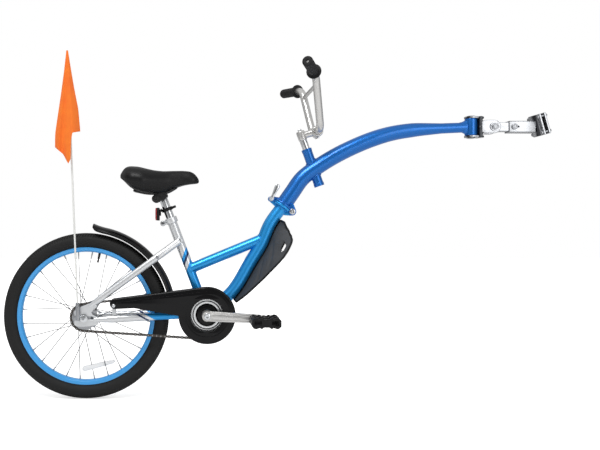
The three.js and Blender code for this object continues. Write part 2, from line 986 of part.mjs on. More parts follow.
// Chain: rollers at one pitch round both sprockets, inner and outer links by turns
function chainPlaces() {
  const tilt = Math.asin((ringRadius - cogRadius) / stayLength);
  const wrap = Math.PI / 2 + tilt;
  const onRing = (drive.ringTeeth * wrap) / (2 * Math.PI);
  const straight = (stayLength * Math.cos(tilt)) / drive.pitch;
  const leave = along(bracketPoint, heading(stayTilt + wrap), ringRadius);
  const meet = along(axlePoint, heading(stayTilt + wrap), cogRadius);
  const half = drive.links / 2;
  const upper = (place) => {
    const turn = stayTilt + (place / onRing) * wrap;
    if (place <= onRing) return along(bracketPoint, heading(turn), ringRadius);
    if (place <= onRing + straight) return leave.clone().lerp(meet, (place - onRing) / straight);
    const rest = (half - place) / (half - onRing - straight);
    return along(axlePoint, heading(stayTilt + Math.PI - rest * (Math.PI - wrap)), cogRadius);
  };
  const run = heading(stayTilt);
  const over = heading(stayTilt + Math.PI / 2);
  return Array.from({ length: drive.links }, (_, i) => {
    if (i <= half) return upper(i);
    const twin = upper(drive.links - i);
    const height = twin.clone().sub(axlePoint).dot(over);
    const distance = twin.clone().sub(axlePoint).dot(run);
    return along(along(axlePoint, run, distance), over, -height);
  });
}

function chain() {
  const places = chainPlaces();
  const spot = (station) => {
    const i = Math.floor(station / 2);
    const place = places[i % places.length];
    const next = places[(i + 1) % places.length];
    const waist = station % 2 === 1;
    const before = waist ? place : places[(i + places.length - 1) % places.length];
    const way = next.clone().sub(before).normalize();
    return { place: waist ? place.clone().lerp(next, 1 / 2) : place.clone(), way };
  };
  const stations = 2 * places.length;
  const inner = drive.innerWidth / 2 + drive.plateThickness;
  const outer = inner + drive.plateThickness;
  const ringSize = 2;
  const band = formed(new THREE.TorusGeometry(ringSize, 1, 4, stations), (x, y, z) => {
    const turn = Math.atan2(y, x) / (2 * Math.PI);
    const station = Math.round((turn + 1) * stations) % stations;
    const radial = Math.hypot(x, y) - ringSize;
    const { place, way } = spot(station);
    const waist = station % 2 === 1;
    const half = waist && station % 4 === 1 ? inner : outer;
    const high = waist ? drive.waistHalfHeight : drive.plateHalfHeight;
    const over = at(way.z, 0, -way.x);
    const rise = Math.sign(Math.round(radial + z)) * high;
    const across = Math.sign(Math.round(z - radial)) * half;
    return offset(along(place, over, rise), chainLine + across);
  });
  const windows = places.map((place, i) => {
    const { place: middle, way } = spot(2 * i + 1);
    const over = at(-way.z, 0, way.x);
    const high = drive.plateHalfHeight + overrun;
    const long = drive.pitch / 2 - drive.rollerHalf;
    const shape = outline(
      [
        [-long, -high],
        [long, -high],
        [long, high],
        [-long, high],
      ].map(([run, rise]) => {
        const corner = along(along(middle, way, run), over, rise);
        return [corner.x, corner.z];
      }),
    );
    return sidePlate(shape, chainLine - drive.innerWidth / 2, chainLine + drive.innerWidth / 2);
  });
  return band.subtract(wasm.Manifold.union(windows));
}
piece("chain", chain(), steel);

// Bottom bracket axle with the bolts that hold the cranks
function bracketAxle() {
  const end = crank.bossEnd + gap;
  const bar = crossRod(bracketPoint, -end - weld, end + weld, crank.spindleRadius, 10);
  const bolts = [-1, 1].map((side) =>
    crossRod(bracketPoint, side * end, side * (end + crank.boltThickness), crank.boltRadius, 12),
  );
  return join(bar, ...bolts);
}
piece("bracket_axle", bracketAxle(), steel);

// Crank arm: boss on the axle, tapering bevelled arm, eye for the pedal
const pedalPoint = (side) =>
  along(bracketPoint, heading(crank.tilt + (side > 0 ? Math.PI : 0)), crank.length);
function crankArm(side) {
  const eyePoint = pedalPoint(side);
  const inner = side * crank.armInner;
  const outer = side * (crank.armInner + crank.armThickness);
  const arm = sidePlate(
    linkShape(bracketPoint, crank.bossRadius, eyePoint, crank.eyeRadius),
    inner,
    outer,
    crank.bevel,
    5,
  );
  const leftStart = frame.bracketWidth / 2 + frame.cupThickness + overrun;
  const start = side > 0 ? leftStart : crank.bossStart - overrun;
  const boss = crossRod(bracketPoint, side * start, side * crank.bossEnd, crank.bossRadius, 12);
  return cut(
    join(arm, boss),
    crossHole(bracketPoint, 0, side * (crank.bossEnd + overrun), crank.spindleRadius + gap, 10),
    crossHole(eyePoint, inner - side * overrun, outer + side * overrun, crank.pedalSpindleRadius + gap, 10),
  );
}

// Pedal: spindle with its collar, and a body of rails round an open barrel
const pedalInner = crank.armInner + crank.armThickness + gap + crank.spindleCollar + gap;
function pedalSpindle(side) {
  const point = pedalPoint(side);
  const collarStart = crank.armInner + crank.armThickness + gap;
  const bar = crossRod(
    point,
    side * crank.armInner,
    side * (pedalInner + crank.pedalWidth - crank.pedalRail),
    crank.pedalSpindleRadius,
    12,
  );
  const collar = crossRod(
    point,
    side * collarStart,
    side * (collarStart + crank.spindleCollar),
    crank.spindleCollarRadius,
    12,
  );
  return join(bar, collar);
}

function pedalBody(side) {
  const point = pedalPoint(side);
  const halfLength = crank.pedalLength / 2;
  const halfHeight = crank.pedalHeight / 2;
  const nose = halfHeight / 2;
  const [x, z] = [point.x, point.z];
  const corners = [
    [nose, halfHeight * pedalWaistShare],
    [halfLength - 2 * nose, halfHeight],
    [halfLength - nose, halfHeight],
    [halfLength, nose],
  ];
  const ring = [
    ...corners,
    ...corners.map(([a, b]) => [a, -b]).reverse(),
    ...corners.map(([a, b]) => [-a, -b]),
    ...corners.map(([a, b]) => [-a, b]).reverse(),
  ];
  const profile = outline(ring.map(([a, b]) => [x + a, z + b]));
  const outer = pedalInner + crank.pedalWidth;
  const middle = (side * (pedalInner + outer)) / 2;
  const body = sidePlate(profile, side * pedalInner, side * outer);
  const windowLength = halfLength - crank.barrelRadius - crank.pedalRail;
  const windows = [-1, 1].map((way) =>
    block(
      at(x + way * (crank.barrelRadius + windowLength / 2), middle, z),
      windowLength,
      crank.pedalWidth - 2 * crank.pedalRail,
      crank.pedalHeight + overrun,
    ),
  );
  const barrel = crossRod(point, side * pedalInner, side * outer, crank.barrelRadius, 12);
  const bore = crossHole(
    point,
    side * (pedalInner - overrun),
    side * (outer - crank.pedalRail + gap),
    crank.pedalSpindleRadius + gap,
    12,
  );
  return cut(join(cut(body, ...windows), barrel), bore);
}

for (const [name, side] of [
  ["right", -1],
  ["left", 1],
]) {
  piece(`crank_arm_${name}`, crankArm(side), silverPaint);
  piece(`pedal_spindle_${name}`, pedalSpindle(side), steel);
  piece(`pedal_${name}`, pedalBody(side), blackPlastic);
}

// Fold joint: lower half on the frame, upper half on the arm, in the fold's own directions
const foldAt = (ahead, above) => along(along(foldPoint, foldAcross, ahead), foldLine, above);
const skewerSlotHalf = fold.skewerRadius + fold.slotSlack;
function foldFlange(way) {
  return rod(
    foldAt(0, (way * gap) / 2),
    foldAt(0, way * (gap / 2 + fold.flangeThickness)),
    fold.flangeRadius,
    16,
    fold.flangeRadius - fold.flangeThickness / 3,
  );
}
// Everything past the face of one half, which leaves the gap to the other half
function foldSpace(way) {
  const far = 3 * fold.flangeRadius;
  const corners = [
    foldAt(-far, (-way * gap) / 2),
    foldAt(far, (-way * gap) / 2),
    foldAt(far, way * far),
    foldAt(-far, way * far),
  ];
  return sidePlate(outline(corners.map(({ x, z }) => [x, z])), -far, far);
}
function knuckle(y0, y1, way, room = 0) {
  const root = foldAt(fold.pinAhead - fold.knuckleRadius, way * fold.knuckleReach);
  const shape = linkShape(pinPoint, fold.knuckleRadius + room, root, fold.knuckleRadius / 2 + room);
  return sidePlate(shape, y0, y1);
}
// A flat ear round the skewer, rooted on one flange
function ear(y0, y1, way, room = 0) {
  const radius = fold.earRadius + room;
  const root = foldAt(-fold.flangeRadius / 2, way * fold.earRadius);
  return sidePlate(linkShape(foldSkewer, radius, root, radius), y0, y1);
}
const knuckleEdges = {
  inner: fold.knuckleHalfWidth,
  outerStart: fold.knuckleHalfWidth + gap,
  outerEnd: 2 * fold.knuckleHalfWidth + overrun,
};
const earEdges = {
  inner: fold.earThickness,
  outerStart: fold.earThickness + gap,
  outerEnd: 2 * fold.earThickness + gap,
};

function lowerFold() {
  const tongue = ear(-earEdges.inner, earEdges.inner, -1);
  const slotTop = along(foldSkewer, foldLine, fold.earRadius + overrun);
  const slot = sidePlate(
    linkShape(foldSkewer, skewerSlotHalf, slotTop, skewerSlotHalf),
    -earEdges.outerStart,
    earEdges.outerStart,
  );
  const rooms = [-1, 1].flatMap((side) => [
    knuckle(side * knuckleEdges.inner, side * (knuckleEdges.outerEnd + gap), 1, 2 * gap),
    ear(side * earEdges.inner, side * (earEdges.outerEnd + gap), 1, 2 * gap),
  ]);
  return {
    solid: cut(join(foldFlange(-1), tongue), foldSpace(1), slot),
    knuckles: knuckle(-knuckleEdges.inner, knuckleEdges.inner, -1),
    rooms,
  };
}

function upperFold() {
  const outer = [-1, 1].flatMap((side) => [
    knuckle(side * knuckleEdges.outerStart, side * knuckleEdges.outerEnd, 1),
    ear(side * earEdges.outerStart, side * earEdges.outerEnd, 1),
  ]);
  const room = knuckle(-knuckleEdges.outerStart, knuckleEdges.outerStart, -1, 2 * gap);
  return { solid: foldFlange(1), knuckles: join(...outer), rooms: [room] };
}
const pinBoreHalf = 2 * knuckleEdges.outerEnd;
const pinBore = crossHole(pinPoint, -pinBoreHalf, pinBoreHalf, fold.pinRadius + gap, 12);

// Front frame: bottom bracket shell, seat tube, top tube, down tube and the fold's lower half
const topTubeRear = along(bracketPoint, seatLine, frame.topTubeHeight);
const topTubeFront = downTubeRoute.getPointAt(topTubeFrontShare);
function frontFrame() {
  const shellEnd = frame.bracketWidth / 2;
  const cupEnd = shellEnd + frame.cupThickness;
  const shell = join(
    crossRod(bracketPoint, -shellEnd, shellEnd, frame.bracketRadius, 14),
    crossRod(bracketPoint, -cupEnd, -shellEnd + weld, frame.cupRadius, 12),
    crossRod(bracketPoint, shellEnd - weld, cupEnd, frame.cupRadius, 12),
  );
  const seatTube = rod(bracketPoint, seatTop, frame.seatTubeRadius, 12);
  const topTube = rod(topTubeRear, topTubeFront, frame.topTubeRadius, 12);
  const downTube = cut(sweep(downTubeRoute, 8, 14, () => frame.downTubeRadius), foldSpace(1));
  const postBore = hole(
    along(seatTop, seatLine, -frame.seatBoreDepth),
    along(seatTop, seatLine, overrun),
    frame.seatPostRadius + gap,
    12,
  );
  const boreHalf = cupEnd + overrun;
  const axleBore = crossHole(bracketPoint, -boreHalf, boreHalf, crank.spindleRadius + gap, 10);
  const { solid, knuckles, rooms } = lowerFold();
  const tubes = cut(join(shell, seatTube, topTube, downTube, solid), ...rooms);
  return cut(join(tubes, knuckles), postBore, axleBore, pinBore);
}
piece("front_frame", frontFrame(), framePaint);

// Rear frame: chain stays, seat stays, dropouts and the bridges between them
const crownRadius = wheel.tyreRadius + mudguard.tyreRoom;
const bridgeReach = crownRadius + gap + frame.bridgeRadius;
// where a line in the side view leaves a circle round the axle
function leaving(start, end, radius) {
  const way = end.clone().sub(start).setY(0).normalize();
  const back = start.clone().sub(axlePoint).setY(0);
  const half = back.dot(way);
  return along(start, way, Math.sqrt(half ** 2 - back.lengthSq() + radius ** 2) - half);
}
const chainStayRoot = at(axlePoint.x + frame.dropoutAhead, 0, axlePoint.z - frame.chainStayRadius / 2);
const seatStayRoot = at(axlePoint.x + frame.dropoutAhead * (3 / 4), 0, axlePoint.z + frame.dropoutRise);
const seatStayTop = along(bracketPoint, seatLine, frame.seatStayHeight);
const upperBridge = leaving(seatStayRoot, seatStayTop, bridgeReach);
const lowerBridge = leaving(chainStayRoot, bracketPoint, bridgeReach);
const stayLine = dropoutInner + axle.dropoutThickness / 2;

function chainStay(side) {
  const root = chainStayRoot;
  const place = (x, y) => {
    const share = (x - root.x) / (bracketPoint.x - root.x);
    return at(x, side * y, THREE.MathUtils.lerp(root.z, bracketPoint.z, share));
  };
  const tyreFront = axlePoint.x + wheel.tyreRadius;
  const tyreSide = wheel.tyreWidth / 2 + frame.tyreRoom + frame.stayHalfBreadth / 2;
  const route = new THREE.CatmullRomCurve3([
    place(root.x, stayLine + gap),
    place(root.x + frame.dropoutAhead, stayLine - frame.stayInset),
    place(tyreFront, tyreSide),
    place(tyreFront + frame.stayKneeAhead, drive.lineOffset - frame.stayKneeInside),
    place(bracketPoint.x, frame.bracketRadius),
  ]);
  const breadth = frame.stayHalfBreadth / frame.chainStayRadius;
  return sweep(route, 7, 8, () => frame.chainStayRadius, { breadth });
}

function seatStay(side) {
  const knee = seatStayRoot.clone().lerp(seatStayTop, seatStayKneeShare);
  const kneeHalf = mudguard.width / 2 + frame.stayHalfBreadth + frame.seatStayRoom;
  const route = bentRoute(
    [
      offset(seatStayRoot, side * stayLine),
      offset(knee, side * kneeHalf),
      offset(seatStayTop, side * (frame.seatTubeRadius + frame.stayHalfBreadth / 2)),
    ],
    frame.seatStayBend,
  );
  const breadth = frame.stayHalfBreadth / frame.seatStayRadius;
  return sweep(route, 6, 8, () => frame.seatStayRadius, { breadth });
}

function dropout(side) {
  const shape = outline(
    dropoutOutlineShares.map(([x, z]) => [
      axlePoint.x + x * (x < 0 ? frame.dropoutBack : frame.dropoutAhead),
      axlePoint.z + z * (z < 0 ? frame.dropoutDrop : frame.dropoutRise),
    ]),
  );
  const slotEnd = at(axlePoint.x - frame.dropoutBack - overrun, 0, axlePoint.z);
  const slot = sidePlate(
    linkShape(axlePoint, axle.radius + gap, slotEnd, axle.radius + gap),
    side * (dropoutInner - overrun),
    side * (dropoutOuter + overrun),
  );
  return cut(sidePlate(shape, side * (dropoutInner + gap), side * dropoutOuter), slot);
}

function rearFrame() {
  const upperHalf = mudguard.width / 2 + frame.stayHalfBreadth;
  const lowerHalf = drive.lineOffset / 2;
  const tabHeight = crownRadius + gap + axle.tensionerThickness;
  const tabTop = along(axlePoint, heading(mudguard.frontAngle * mudguard.tabShare), tabHeight);
  const tabShape = linkShape(lowerBridge, axle.tensionerThickness * 2, tabTop, axle.tensionerThickness);
  const sides = [-1, 1].flatMap((side) => [chainStay(side), seatStay(side), dropout(side)]);
  return cut(
    join(
      ...sides,
      crossRod(upperBridge, -upperHalf, upperHalf, frame.bridgeRadius, 12),
      crossRod(lowerBridge, -lowerHalf, lowerHalf, frame.bridgeRadius, 12),
      sidePlate(tabShape, -mudguard.tabWidth / 2, mudguard.tabWidth / 2),
      guardTab(),
    ),
    crossHole(bracketPoint, -drive.lineOffset * 2, drive.lineOffset * 2, frame.bracketRadius + 2 * gap, 14),
    hole(bracketPoint, along(seatTop, seatLine, overrun), frame.seatTubeRadius + gap, 12),
    crossHole(axlePoint, -drive.lineOffset * 3, drive.lineOffset * 3, axle.radius + gap, 12),
  );
}

// Chain guard: a dished cover round the chainring with an arm along the upper run
const guardEnd = at(
  bracketPoint.x - guard.armLength,
  0,
  bracketPoint.z + guard.armRise,
);
const guardScrew = at(guardEnd.x - guard.armEndRadius / 4, 0, guardEnd.z - guard.armEndRadius / 3);
function guardShape(inset) {
  const disc = guard.discRadius - inset;
  const end = guard.armEndRadius - inset;
  const way = Math.atan2(guardEnd.z - bracketPoint.z, guardEnd.x - bracketPoint.x);
  const spread = Math.acos((disc - end) / Math.hypot(guard.armLength, guard.armRise));
  const shape = new THREE.Shape();
  const lowerMeet = Math.PI - Math.asin((guard.armEndRadius / 2 - inset) / disc) / 2;
  shape.absarc(bracketPoint.x, bracketPoint.z, disc, lowerMeet - 2 * Math.PI, way - spread, false);
  shape.absarc(guardEnd.x, guardEnd.z, end, way - spread, (3 * Math.PI) / 2, false);
  const joinX = bracketPoint.x - disc - guard.armEndRadius;
  shape.lineTo(joinX, guardEnd.z - end + guard.armEndRadius / 2);
  shape.closePath();
  return shape;
}
function chainGuard() {
  const outer = sidePlate(guardShape(0), -guard.outerFace, -guard.innerFace, guard.bevel, 9);
  const hollowFace = -guard.outerFace + guard.wall;
  const hollow = sidePlate(guardShape(guard.bevel), hollowFace, -guard.innerFace + overrun, 0, 9);
  const boss = crossRod(guardScrew, -guard.outerFace + weld, -guard.innerFace, guard.bossRadius, 12);
  const opening = crossRod(bracketPoint, -guard.outerFace - overrun, 0, guard.openingRadius, 16);
  const screwHole = crossHole(guardScrew, -guard.outerFace - overrun, 0, guard.screwRadius + gap, 8);
  return cut(join(cut(outer, hollow), boss), opening, screwHole);
}
function guardTab() {
  const inner = -guard.innerFace + gap + guard.tabThickness;
  const shape = linkShape(guardScrew, guard.bossRadius, at(guardScrew.x, 0, axlePoint.z), guard.bossRadius);
  return cut(
    sidePlate(shape, -guard.innerFace + gap, inner),
    crossHole(guardScrew, -guard.outerFace, 0, guard.screwRadius + gap, 8),
  );
}
function guardScrewSolid() {
  const outside = -guard.outerFace - gap;
  return join(
    crossRod(guardScrew, outside, -guard.innerFace + gap + guard.tabThickness, guard.screwRadius, 8),
    crossRod(guardScrew, outside - guard.screwHeadThickness, outside, guard.screwHeadRadius, 12),
  );
}
piece("rear_frame", rearFrame(), silverPaint);
piece("chain_guard", chainGuard(), blackPlastic);
piece("guard_screw", guardScrewSolid(), steel);
piece("chain_tensioner_right", chainTensioner(-1), steel);
piece("chain_tensioner_left", chainTensioner(1), steel);

// Mudguard: an arched strip round the tyre, flared at its tail
function rearMudguard() {
  const half = mudguard.width / 2;
  return formed(new THREE.BoxGeometry(1, 1, 1, 6, 18, 1), (x, y, z) => {
    const inset = z < 0 ? mudguard.thickness : 0;
    const angle = THREE.MathUtils.lerp(mudguard.frontAngle, mudguard.rearAngle, y + 1 / 2);
    const bow = x * Math.PI;
    const flare = mudguard.flare * Math.max(0, 1 - (1 / 2 - y) / mudguard.flareShare) ** 2;
    const edgeRadius = crownRadius - mudguard.depth;
    const radius = edgeRadius + (mudguard.depth - inset) * Math.cos(bow) + flare;
    return offset(along(axlePoint, heading(angle), radius), (half - inset) * Math.sin(bow));
  });
}
piece("mudguard", rearMudguard(), blackPlastic);

// Splash guard: a shield on the front of the down tube, its wings swept forward
function splashGuard() {
  return formed(new THREE.BoxGeometry(1, 1, 1, 10, 11, 1), (x, y, z) => {
    const row = 1 / 2 - y;
    const share = THREE.MathUtils.lerp(splash.topShare, splash.bottomShare, row);
    const tangent = downTubeRoute.getTangentAt(share);
    const ahead = at(tangent.z, 0, -tangent.x);
    const out = 2 * Math.abs(x);
    const inset = z < 0 ? 0 : splash.thickness;
    const reach = between(splashReachShares, row) * splash.reach * out ** splash.sweepPower;
    const width = between(splashWidthShares, row) * splash.halfWidth;
    const standOff = frame.downTubeRadius + splash.standOff + inset + reach;
    return offset(along(downTubeRoute.getPointAt(share), ahead, standOff), 2 * x * width);
  });
}
piece("splash_guard", splashGuard(), blackPlastic);

// Fold pin and quick release
function foldPin() {
  const face = knuckleEdges.outerEnd + gap;
  const heads = [-1, 1].map((side) =>
    crossRod(pinPoint, side * face, side * (face + fold.pinHeadThickness), fold.pinHeadRadius, 12),
  );
  return join(crossRod(pinPoint, -face - weld, face + weld, fold.pinRadius, 12), ...heads);
}
piece("fold_pin", foldPin(), chrome);

// A quick-release skewer across the bike: nut at one end, cam seat at the other
function quickRelease(point, clampHalf, leverSide, sizes) {
  const seatFace = leverSide * (clampHalf + gap);
  const seatEnd = seatFace + leverSide * sizes.camSeat;
  const nutEnd = -seatFace - leverSide * sizes.camRadius;
  return join(
    crossRod(point, nutEnd, seatFace + leverSide * weld, sizes.skewerRadius, 12),
    crossRod(point, -seatFace, nutEnd, sizes.nutRadius, 12),
    crossRod(point, seatFace, seatEnd, sizes.nutRadius, 12),
  );
}
function quickReleaseLever(point, clampHalf, leverSide, way, sizes) {
  const seatFace = clampHalf + 2 * gap + sizes.camSeat;
  const camPlace = offset(point, leverSide * (seatFace + sizes.camRadius));
  const hinge = at(-way.z, 0, way.x);
  const camStart = along(camPlace, hinge, -sizes.camHalf);
  const camEnd = along(camPlace, hinge, sizes.camHalf);
  const tip = offset(along(camPlace, way, sizes.leverLength), leverSide * (sizes.camRadius / 3));
  const widthAt = (share) => (sizes.leverWidth * (1 - share / 4)) / 2;
  const breadth = sizes.leverThickness / sizes.leverWidth;
  const handle = sweep(new THREE.LineCurve3(camPlace, tip), 3, 10, widthAt, { breadth });
  return join(rod(camStart, camEnd, sizes.camRadius, 12), handle);
}
const foldClampHalf = earEdges.outerEnd;
piece("fold_skewer", quickRelease(foldSkewer, foldClampHalf, -1, foldRelease), steel);
const foldLeverWay = heading(fold.leverSlope);
piece("fold_lever", quickReleaseLever(foldSkewer, foldClampHalf, -1, foldLeverWay, foldRelease), chrome);

// Tow arm: curved tube, head tube, sleeve for the hitch and the fold's upper half
const headLine = at(-Math.sin(arm.headTubeLean), 0, Math.cos(arm.headTubeLean));
const headMiddle = at(foldPoint.x + arm.headTubeAhead, 0, foldPoint.z + arm.headTubeBelow - arm.radius / 2);
const headTop = along(headMiddle, headLine, arm.headTubeLength / 2);
const headBottom = along(headMiddle, headLine, -arm.headTubeLength / 2);
function towArm() {
  const { solid, knuckles, rooms } = upperFold();
  const tube = cut(
    sweep(armRoute, 15, 14, (share) => arm.radius * between(armRadiusShares, share)),
    foldSpace(-1),
  );
  const sleeveHalf = arm.sleeveHeight / 2;
  const sleeveFoot = along(yawPoint, up, -sleeveHalf);
  const sleeve = rod(sleeveFoot, along(yawPoint, up, sleeveHalf), arm.sleeveRadius, 12);
  const endRadius = arm.radius * between(armRadiusShares, 1) - weld;
  const flareRoot = yawPoint.x - arm.sleeveRadius;
  const flareHalf = sleeveHalf - arm.flareInset;
  const flareShape = outline([
    [flareRoot - arm.flareLength, yawPoint.z - endRadius],
    [flareRoot + arm.flareInset, yawPoint.z - flareHalf],
    [flareRoot + arm.flareInset * 2, yawPoint.z],
    [flareRoot + arm.flareInset, yawPoint.z + flareHalf],
    [flareRoot - arm.flareLength, yawPoint.z + endRadius],
  ]);
  const flare = sidePlate(flareShape, -endRadius * (2 / 3), endRadius * (2 / 3));
  const headTube = rod(headBottom, headTop, arm.headTubeRadius, 12);
  const gussetRoot = foldAt(fold.pinAhead - fold.knuckleRadius, fold.flangeThickness);
  const gussetTop = foldAt(arm.radius - fold.gussetThickness, fold.gussetLength + fold.flangeThickness);
  const gusset = sidePlate(
    linkShape(gussetRoot, fold.gussetThickness, gussetTop, fold.gussetThickness / 2),
    -fold.gussetThickness / 2,
    fold.gussetThickness / 2,
  );
  const yawBore = hole(
    along(yawPoint, up, -arm.sleeveHeight),
    along(yawPoint, up, arm.sleeveHeight),
    hitch.boltRadius + gap,
    12,
  );
  const quillBore = hole(
    along(headBottom, headLine, -overrun),
    along(headTop, headLine, overrun),
    bars.quillRadius + gap,
    12,
  );
  const welded = cut(join(tube, sleeve, flare, headTube, gusset, solid), ...rooms);
  const skewerBoreRadius = fold.skewerRadius + gap;
  const skewerBore = crossHole(foldSkewer, -fold.flangeRadius, fold.flangeRadius, skewerBoreRadius, 12);
  return cut(join(welded, knuckles), yawBore, quillBore, pinBore, skewerBore);
}
piece("tow_arm", towArm(), armPaint);

// Stem: quill in the head tube, head with its bolt, extension and bar clamp
const stemHead = along(headTop, headLine, bars.headAbove);
const barPoint = along(along(stemHead, forward, bars.barAhead), up, bars.barAbove);
function stem() {
  const quill = rod(along(headTop, headLine, -bars.quillInsert), stemHead, bars.quillRadius, 12);
  const head = rod(
    along(stemHead, headLine, -bars.headHeight / 2),
    along(stemHead, headLine, bars.headHeight / 2),
    bars.headRadius,
    12,
  );
  const extension = rod(stemHead, barPoint, bars.extensionRadius, 12, bars.extensionEndRadius);
  const clamp = crossRod(barPoint, -bars.clampHalfWidth, bars.clampHalfWidth, bars.clampRadius, 12);
  const bore = crossHole(barPoint, -bars.halfWidth, bars.halfWidth, bars.tubeRadius + gap, 12);
  const slit = block(
    along(barPoint, up, -bars.clampRadius),
    bars.clampSlit,
    2 * bars.clampHalfWidth + overrun,
    bars.clampRadius * (4 / 3),
  );
  return cut(join(quill, head, extension, clamp), bore, slit);
}
piece("stem", stem(), chrome);
const boltSeat = along(stemHead, headLine, bars.headHeight / 2 + gap);
const boltTop = along(boltSeat, headLine, bars.boltHeight);
piece("stem_bolt", rod(boltSeat, boltTop, bars.boltRadius, 16, bars.boltTopRadius), chrome);

// Handlebar with its crossbar, and the grips
const barPlace = (side, [out, rise, back]) =>
  at(barPoint.x - back * bars.sweepBack, side * out * bars.halfWidth, barPoint.z + rise * bars.rise);
function handlebar() {
  const rightHalf = barRouteShares.slice(0, -1).map((share) => barPlace(-1, share));
  const leftHalf = barRouteShares.slice(0, -1).map((share) => barPlace(1, share)).reverse();
  const route = bentRoute([...rightHalf, ...leftHalf], bars.bendRadius);
  const tube = sweep(route, 26, 10, () => bars.tubeRadius, { side: forward });
  const [, bend, foot] = barRouteShares;
  const climb = (bars.crossbarRise / bars.rise - foot[1]) / (bend[1] - foot[1]);
  const joint = (side) => barPlace(side, foot).lerp(barPlace(side, bend), climb);
  return join(tube, rod(joint(-1), joint(1), bars.crossbarRadius, 8));
}
function grip(side) {
  const end = barPlace(side, barRouteShares[0]);
  const inward = barPlace(side, barRouteShares[1]).sub(end).normalize();
  const flangeFace = along(end, inward, bars.gripLength);
  const outerEnd = along(end, inward, -gap - bars.gripEndThickness);
  const body = rod(outerEnd, flangeFace, bars.gripRadius, 14);
  const flangeBack = along(flangeFace, inward, -bars.gripFlangeThickness);
  const flange = rod(flangeBack, flangeFace, bars.gripFlangeRadius, 12);
  const boreEnd = along(flangeFace, inward, overrun);
  const bore = hole(along(end, inward, -gap), boreEnd, bars.tubeRadius + gap, 12);
  const vent = rod(along(outerEnd, inward, -overrun), flangeFace, bars.gripHoleRadius, 8);
  return cut(join(body, flange), bore, vent);
}
piece("handlebar", handlebar(), silverPaint);
piece("grip_right", grip(-1), rubber);
piece("grip_left", grip(1), rubber);

// Universal joint of the hitch
const plateInner = hitch.tongueSize / 2 + gap;
const plateOuter = plateInner + hitch.plateThickness;
const webRear = yawPoint.x + arm.sleeveRadius + gap;
const webFront = webRear + hitch.webThickness;
const earInner = arm.sleeveHeight / 2 + gap;
const earOuter = earInner + hitch.plateThickness;
function pivotYoke() {
  const plateRoot = at(webRear + hitch.plateRadius, 0, pitchPoint.z);
  const plateShape = linkShape(pitchPoint, hitch.plateRadius, plateRoot, hitch.plateRadius);
  const plates = [-1, 1].map((side) => sidePlate(plateShape, side * plateInner, side * plateOuter));
  const webMiddle = at((webRear + webFront) / 2, 0, yawPoint.z);
  const web = block(webMiddle, hitch.webThickness, 2 * plateOuter, 2 * earOuter);
  const ears = [-1, 1].map((side) => {
    const inner = along(yawPoint, up, side * earInner);
    const outer = along(yawPoint, up, side * earOuter);
    const round = rod(inner, outer, hitch.earReach, 14);
    const neck = block(
      at((yawPoint.x + webFront) / 2, 0, (inner.z + outer.z) / 2),
      webFront - yawPoint.x,
      2 * hitch.earReach,
      hitch.plateThickness,
    );
    return join(round, neck);
  });
  const boreRadius = hitch.boltRadius + gap;
  const yawBoreEnd = along(yawPoint, up, 2 * earOuter);
  const yawBore = hole(along(yawPoint, up, -2 * earOuter), yawBoreEnd, boreRadius, 12);
  const pitchBore = crossHole(pitchPoint, -2 * plateOuter, 2 * plateOuter, boreRadius, 12);
  return cut(join(web, ...plates, ...ears), yawBore, pitchBore);
}
function hitchBolt(center, direction, half, steps) {
  const head = half + gap;
  const barEnd = along(center, direction, head + weld);
  const bar = rod(along(center, direction, -head - weld), barEnd, hitch.boltRadius, 12);
  const ends = [-1, 1].map((side) => {
    let face = along(center, direction, side * head);
    const stack = steps.map(([radius, thickness, sides]) => {
      const start = face;
      face = along(start, direction, side * thickness);
      return rod(start, face, radius, sides);
    });
    return join(...stack);
  });
  return join(bar, ...ends);
}
const pitchHead = [
  [hitch.washerRadius, hitch.washerThickness, 12],
  [hitch.boltHeadRadius, hitch.boltHeadThickness, 6],
];
const yawHead = [[hitch.yawHeadRadius, hitch.yawHeadThickness, 14]];
piece("pivot_yoke", pivotYoke(), chrome);
piece("pitch_bolt", hitchBolt(pitchPoint, left, plateOuter, pitchHead), steel);
piece("yaw_bolt", hitchBolt(yawPoint, up, earOuter, yawHead), steel);

// Tongue, receiver and locking pin
const pinPlace = at(-hitch.pinBack, 0, -layout.hitchDrop);
const receiverFront = -(hitch.postRadius + hitch.insertThickness + hitch.shellThickness / 2);
function tongue() {
  const half = hitch.tongueSize / 2;
  const eye = crossRod(pitchPoint, -half, half, half, 16);
  const front = -hitch.tongueEnd;
  const middle = at((pitchPoint.x + front) / 2, 0, pitchPoint.z);
  const bar = block(middle, front - pitchPoint.x, 2 * half, 2 * half);
  return cut(
    join(eye, bar),
    crossHole(pitchPoint, -hitch.receiverSize, hitch.receiverSize, hitch.boltRadius + gap, 12),
    crossHole(pinPlace, -hitch.receiverSize, hitch.receiverSize, hitch.pinRadius + gap, 12),
  );
}
piece("hitch_tongue", tongue(), chrome);
const pinSeat = hitch.receiverSize / 2 + gap;
piece(
  "hitch_pin",
  join(
    crossRod(pinPlace, -pinSeat - weld, hitch.receiverSize / 2 + overrun, hitch.pinRadius, 12),
    crossRod(pinPlace, -pinSeat - hitch.pinHeadThickness, -pinSeat, hitch.pinHeadRadius, 14),
  ),
  chrome,
);

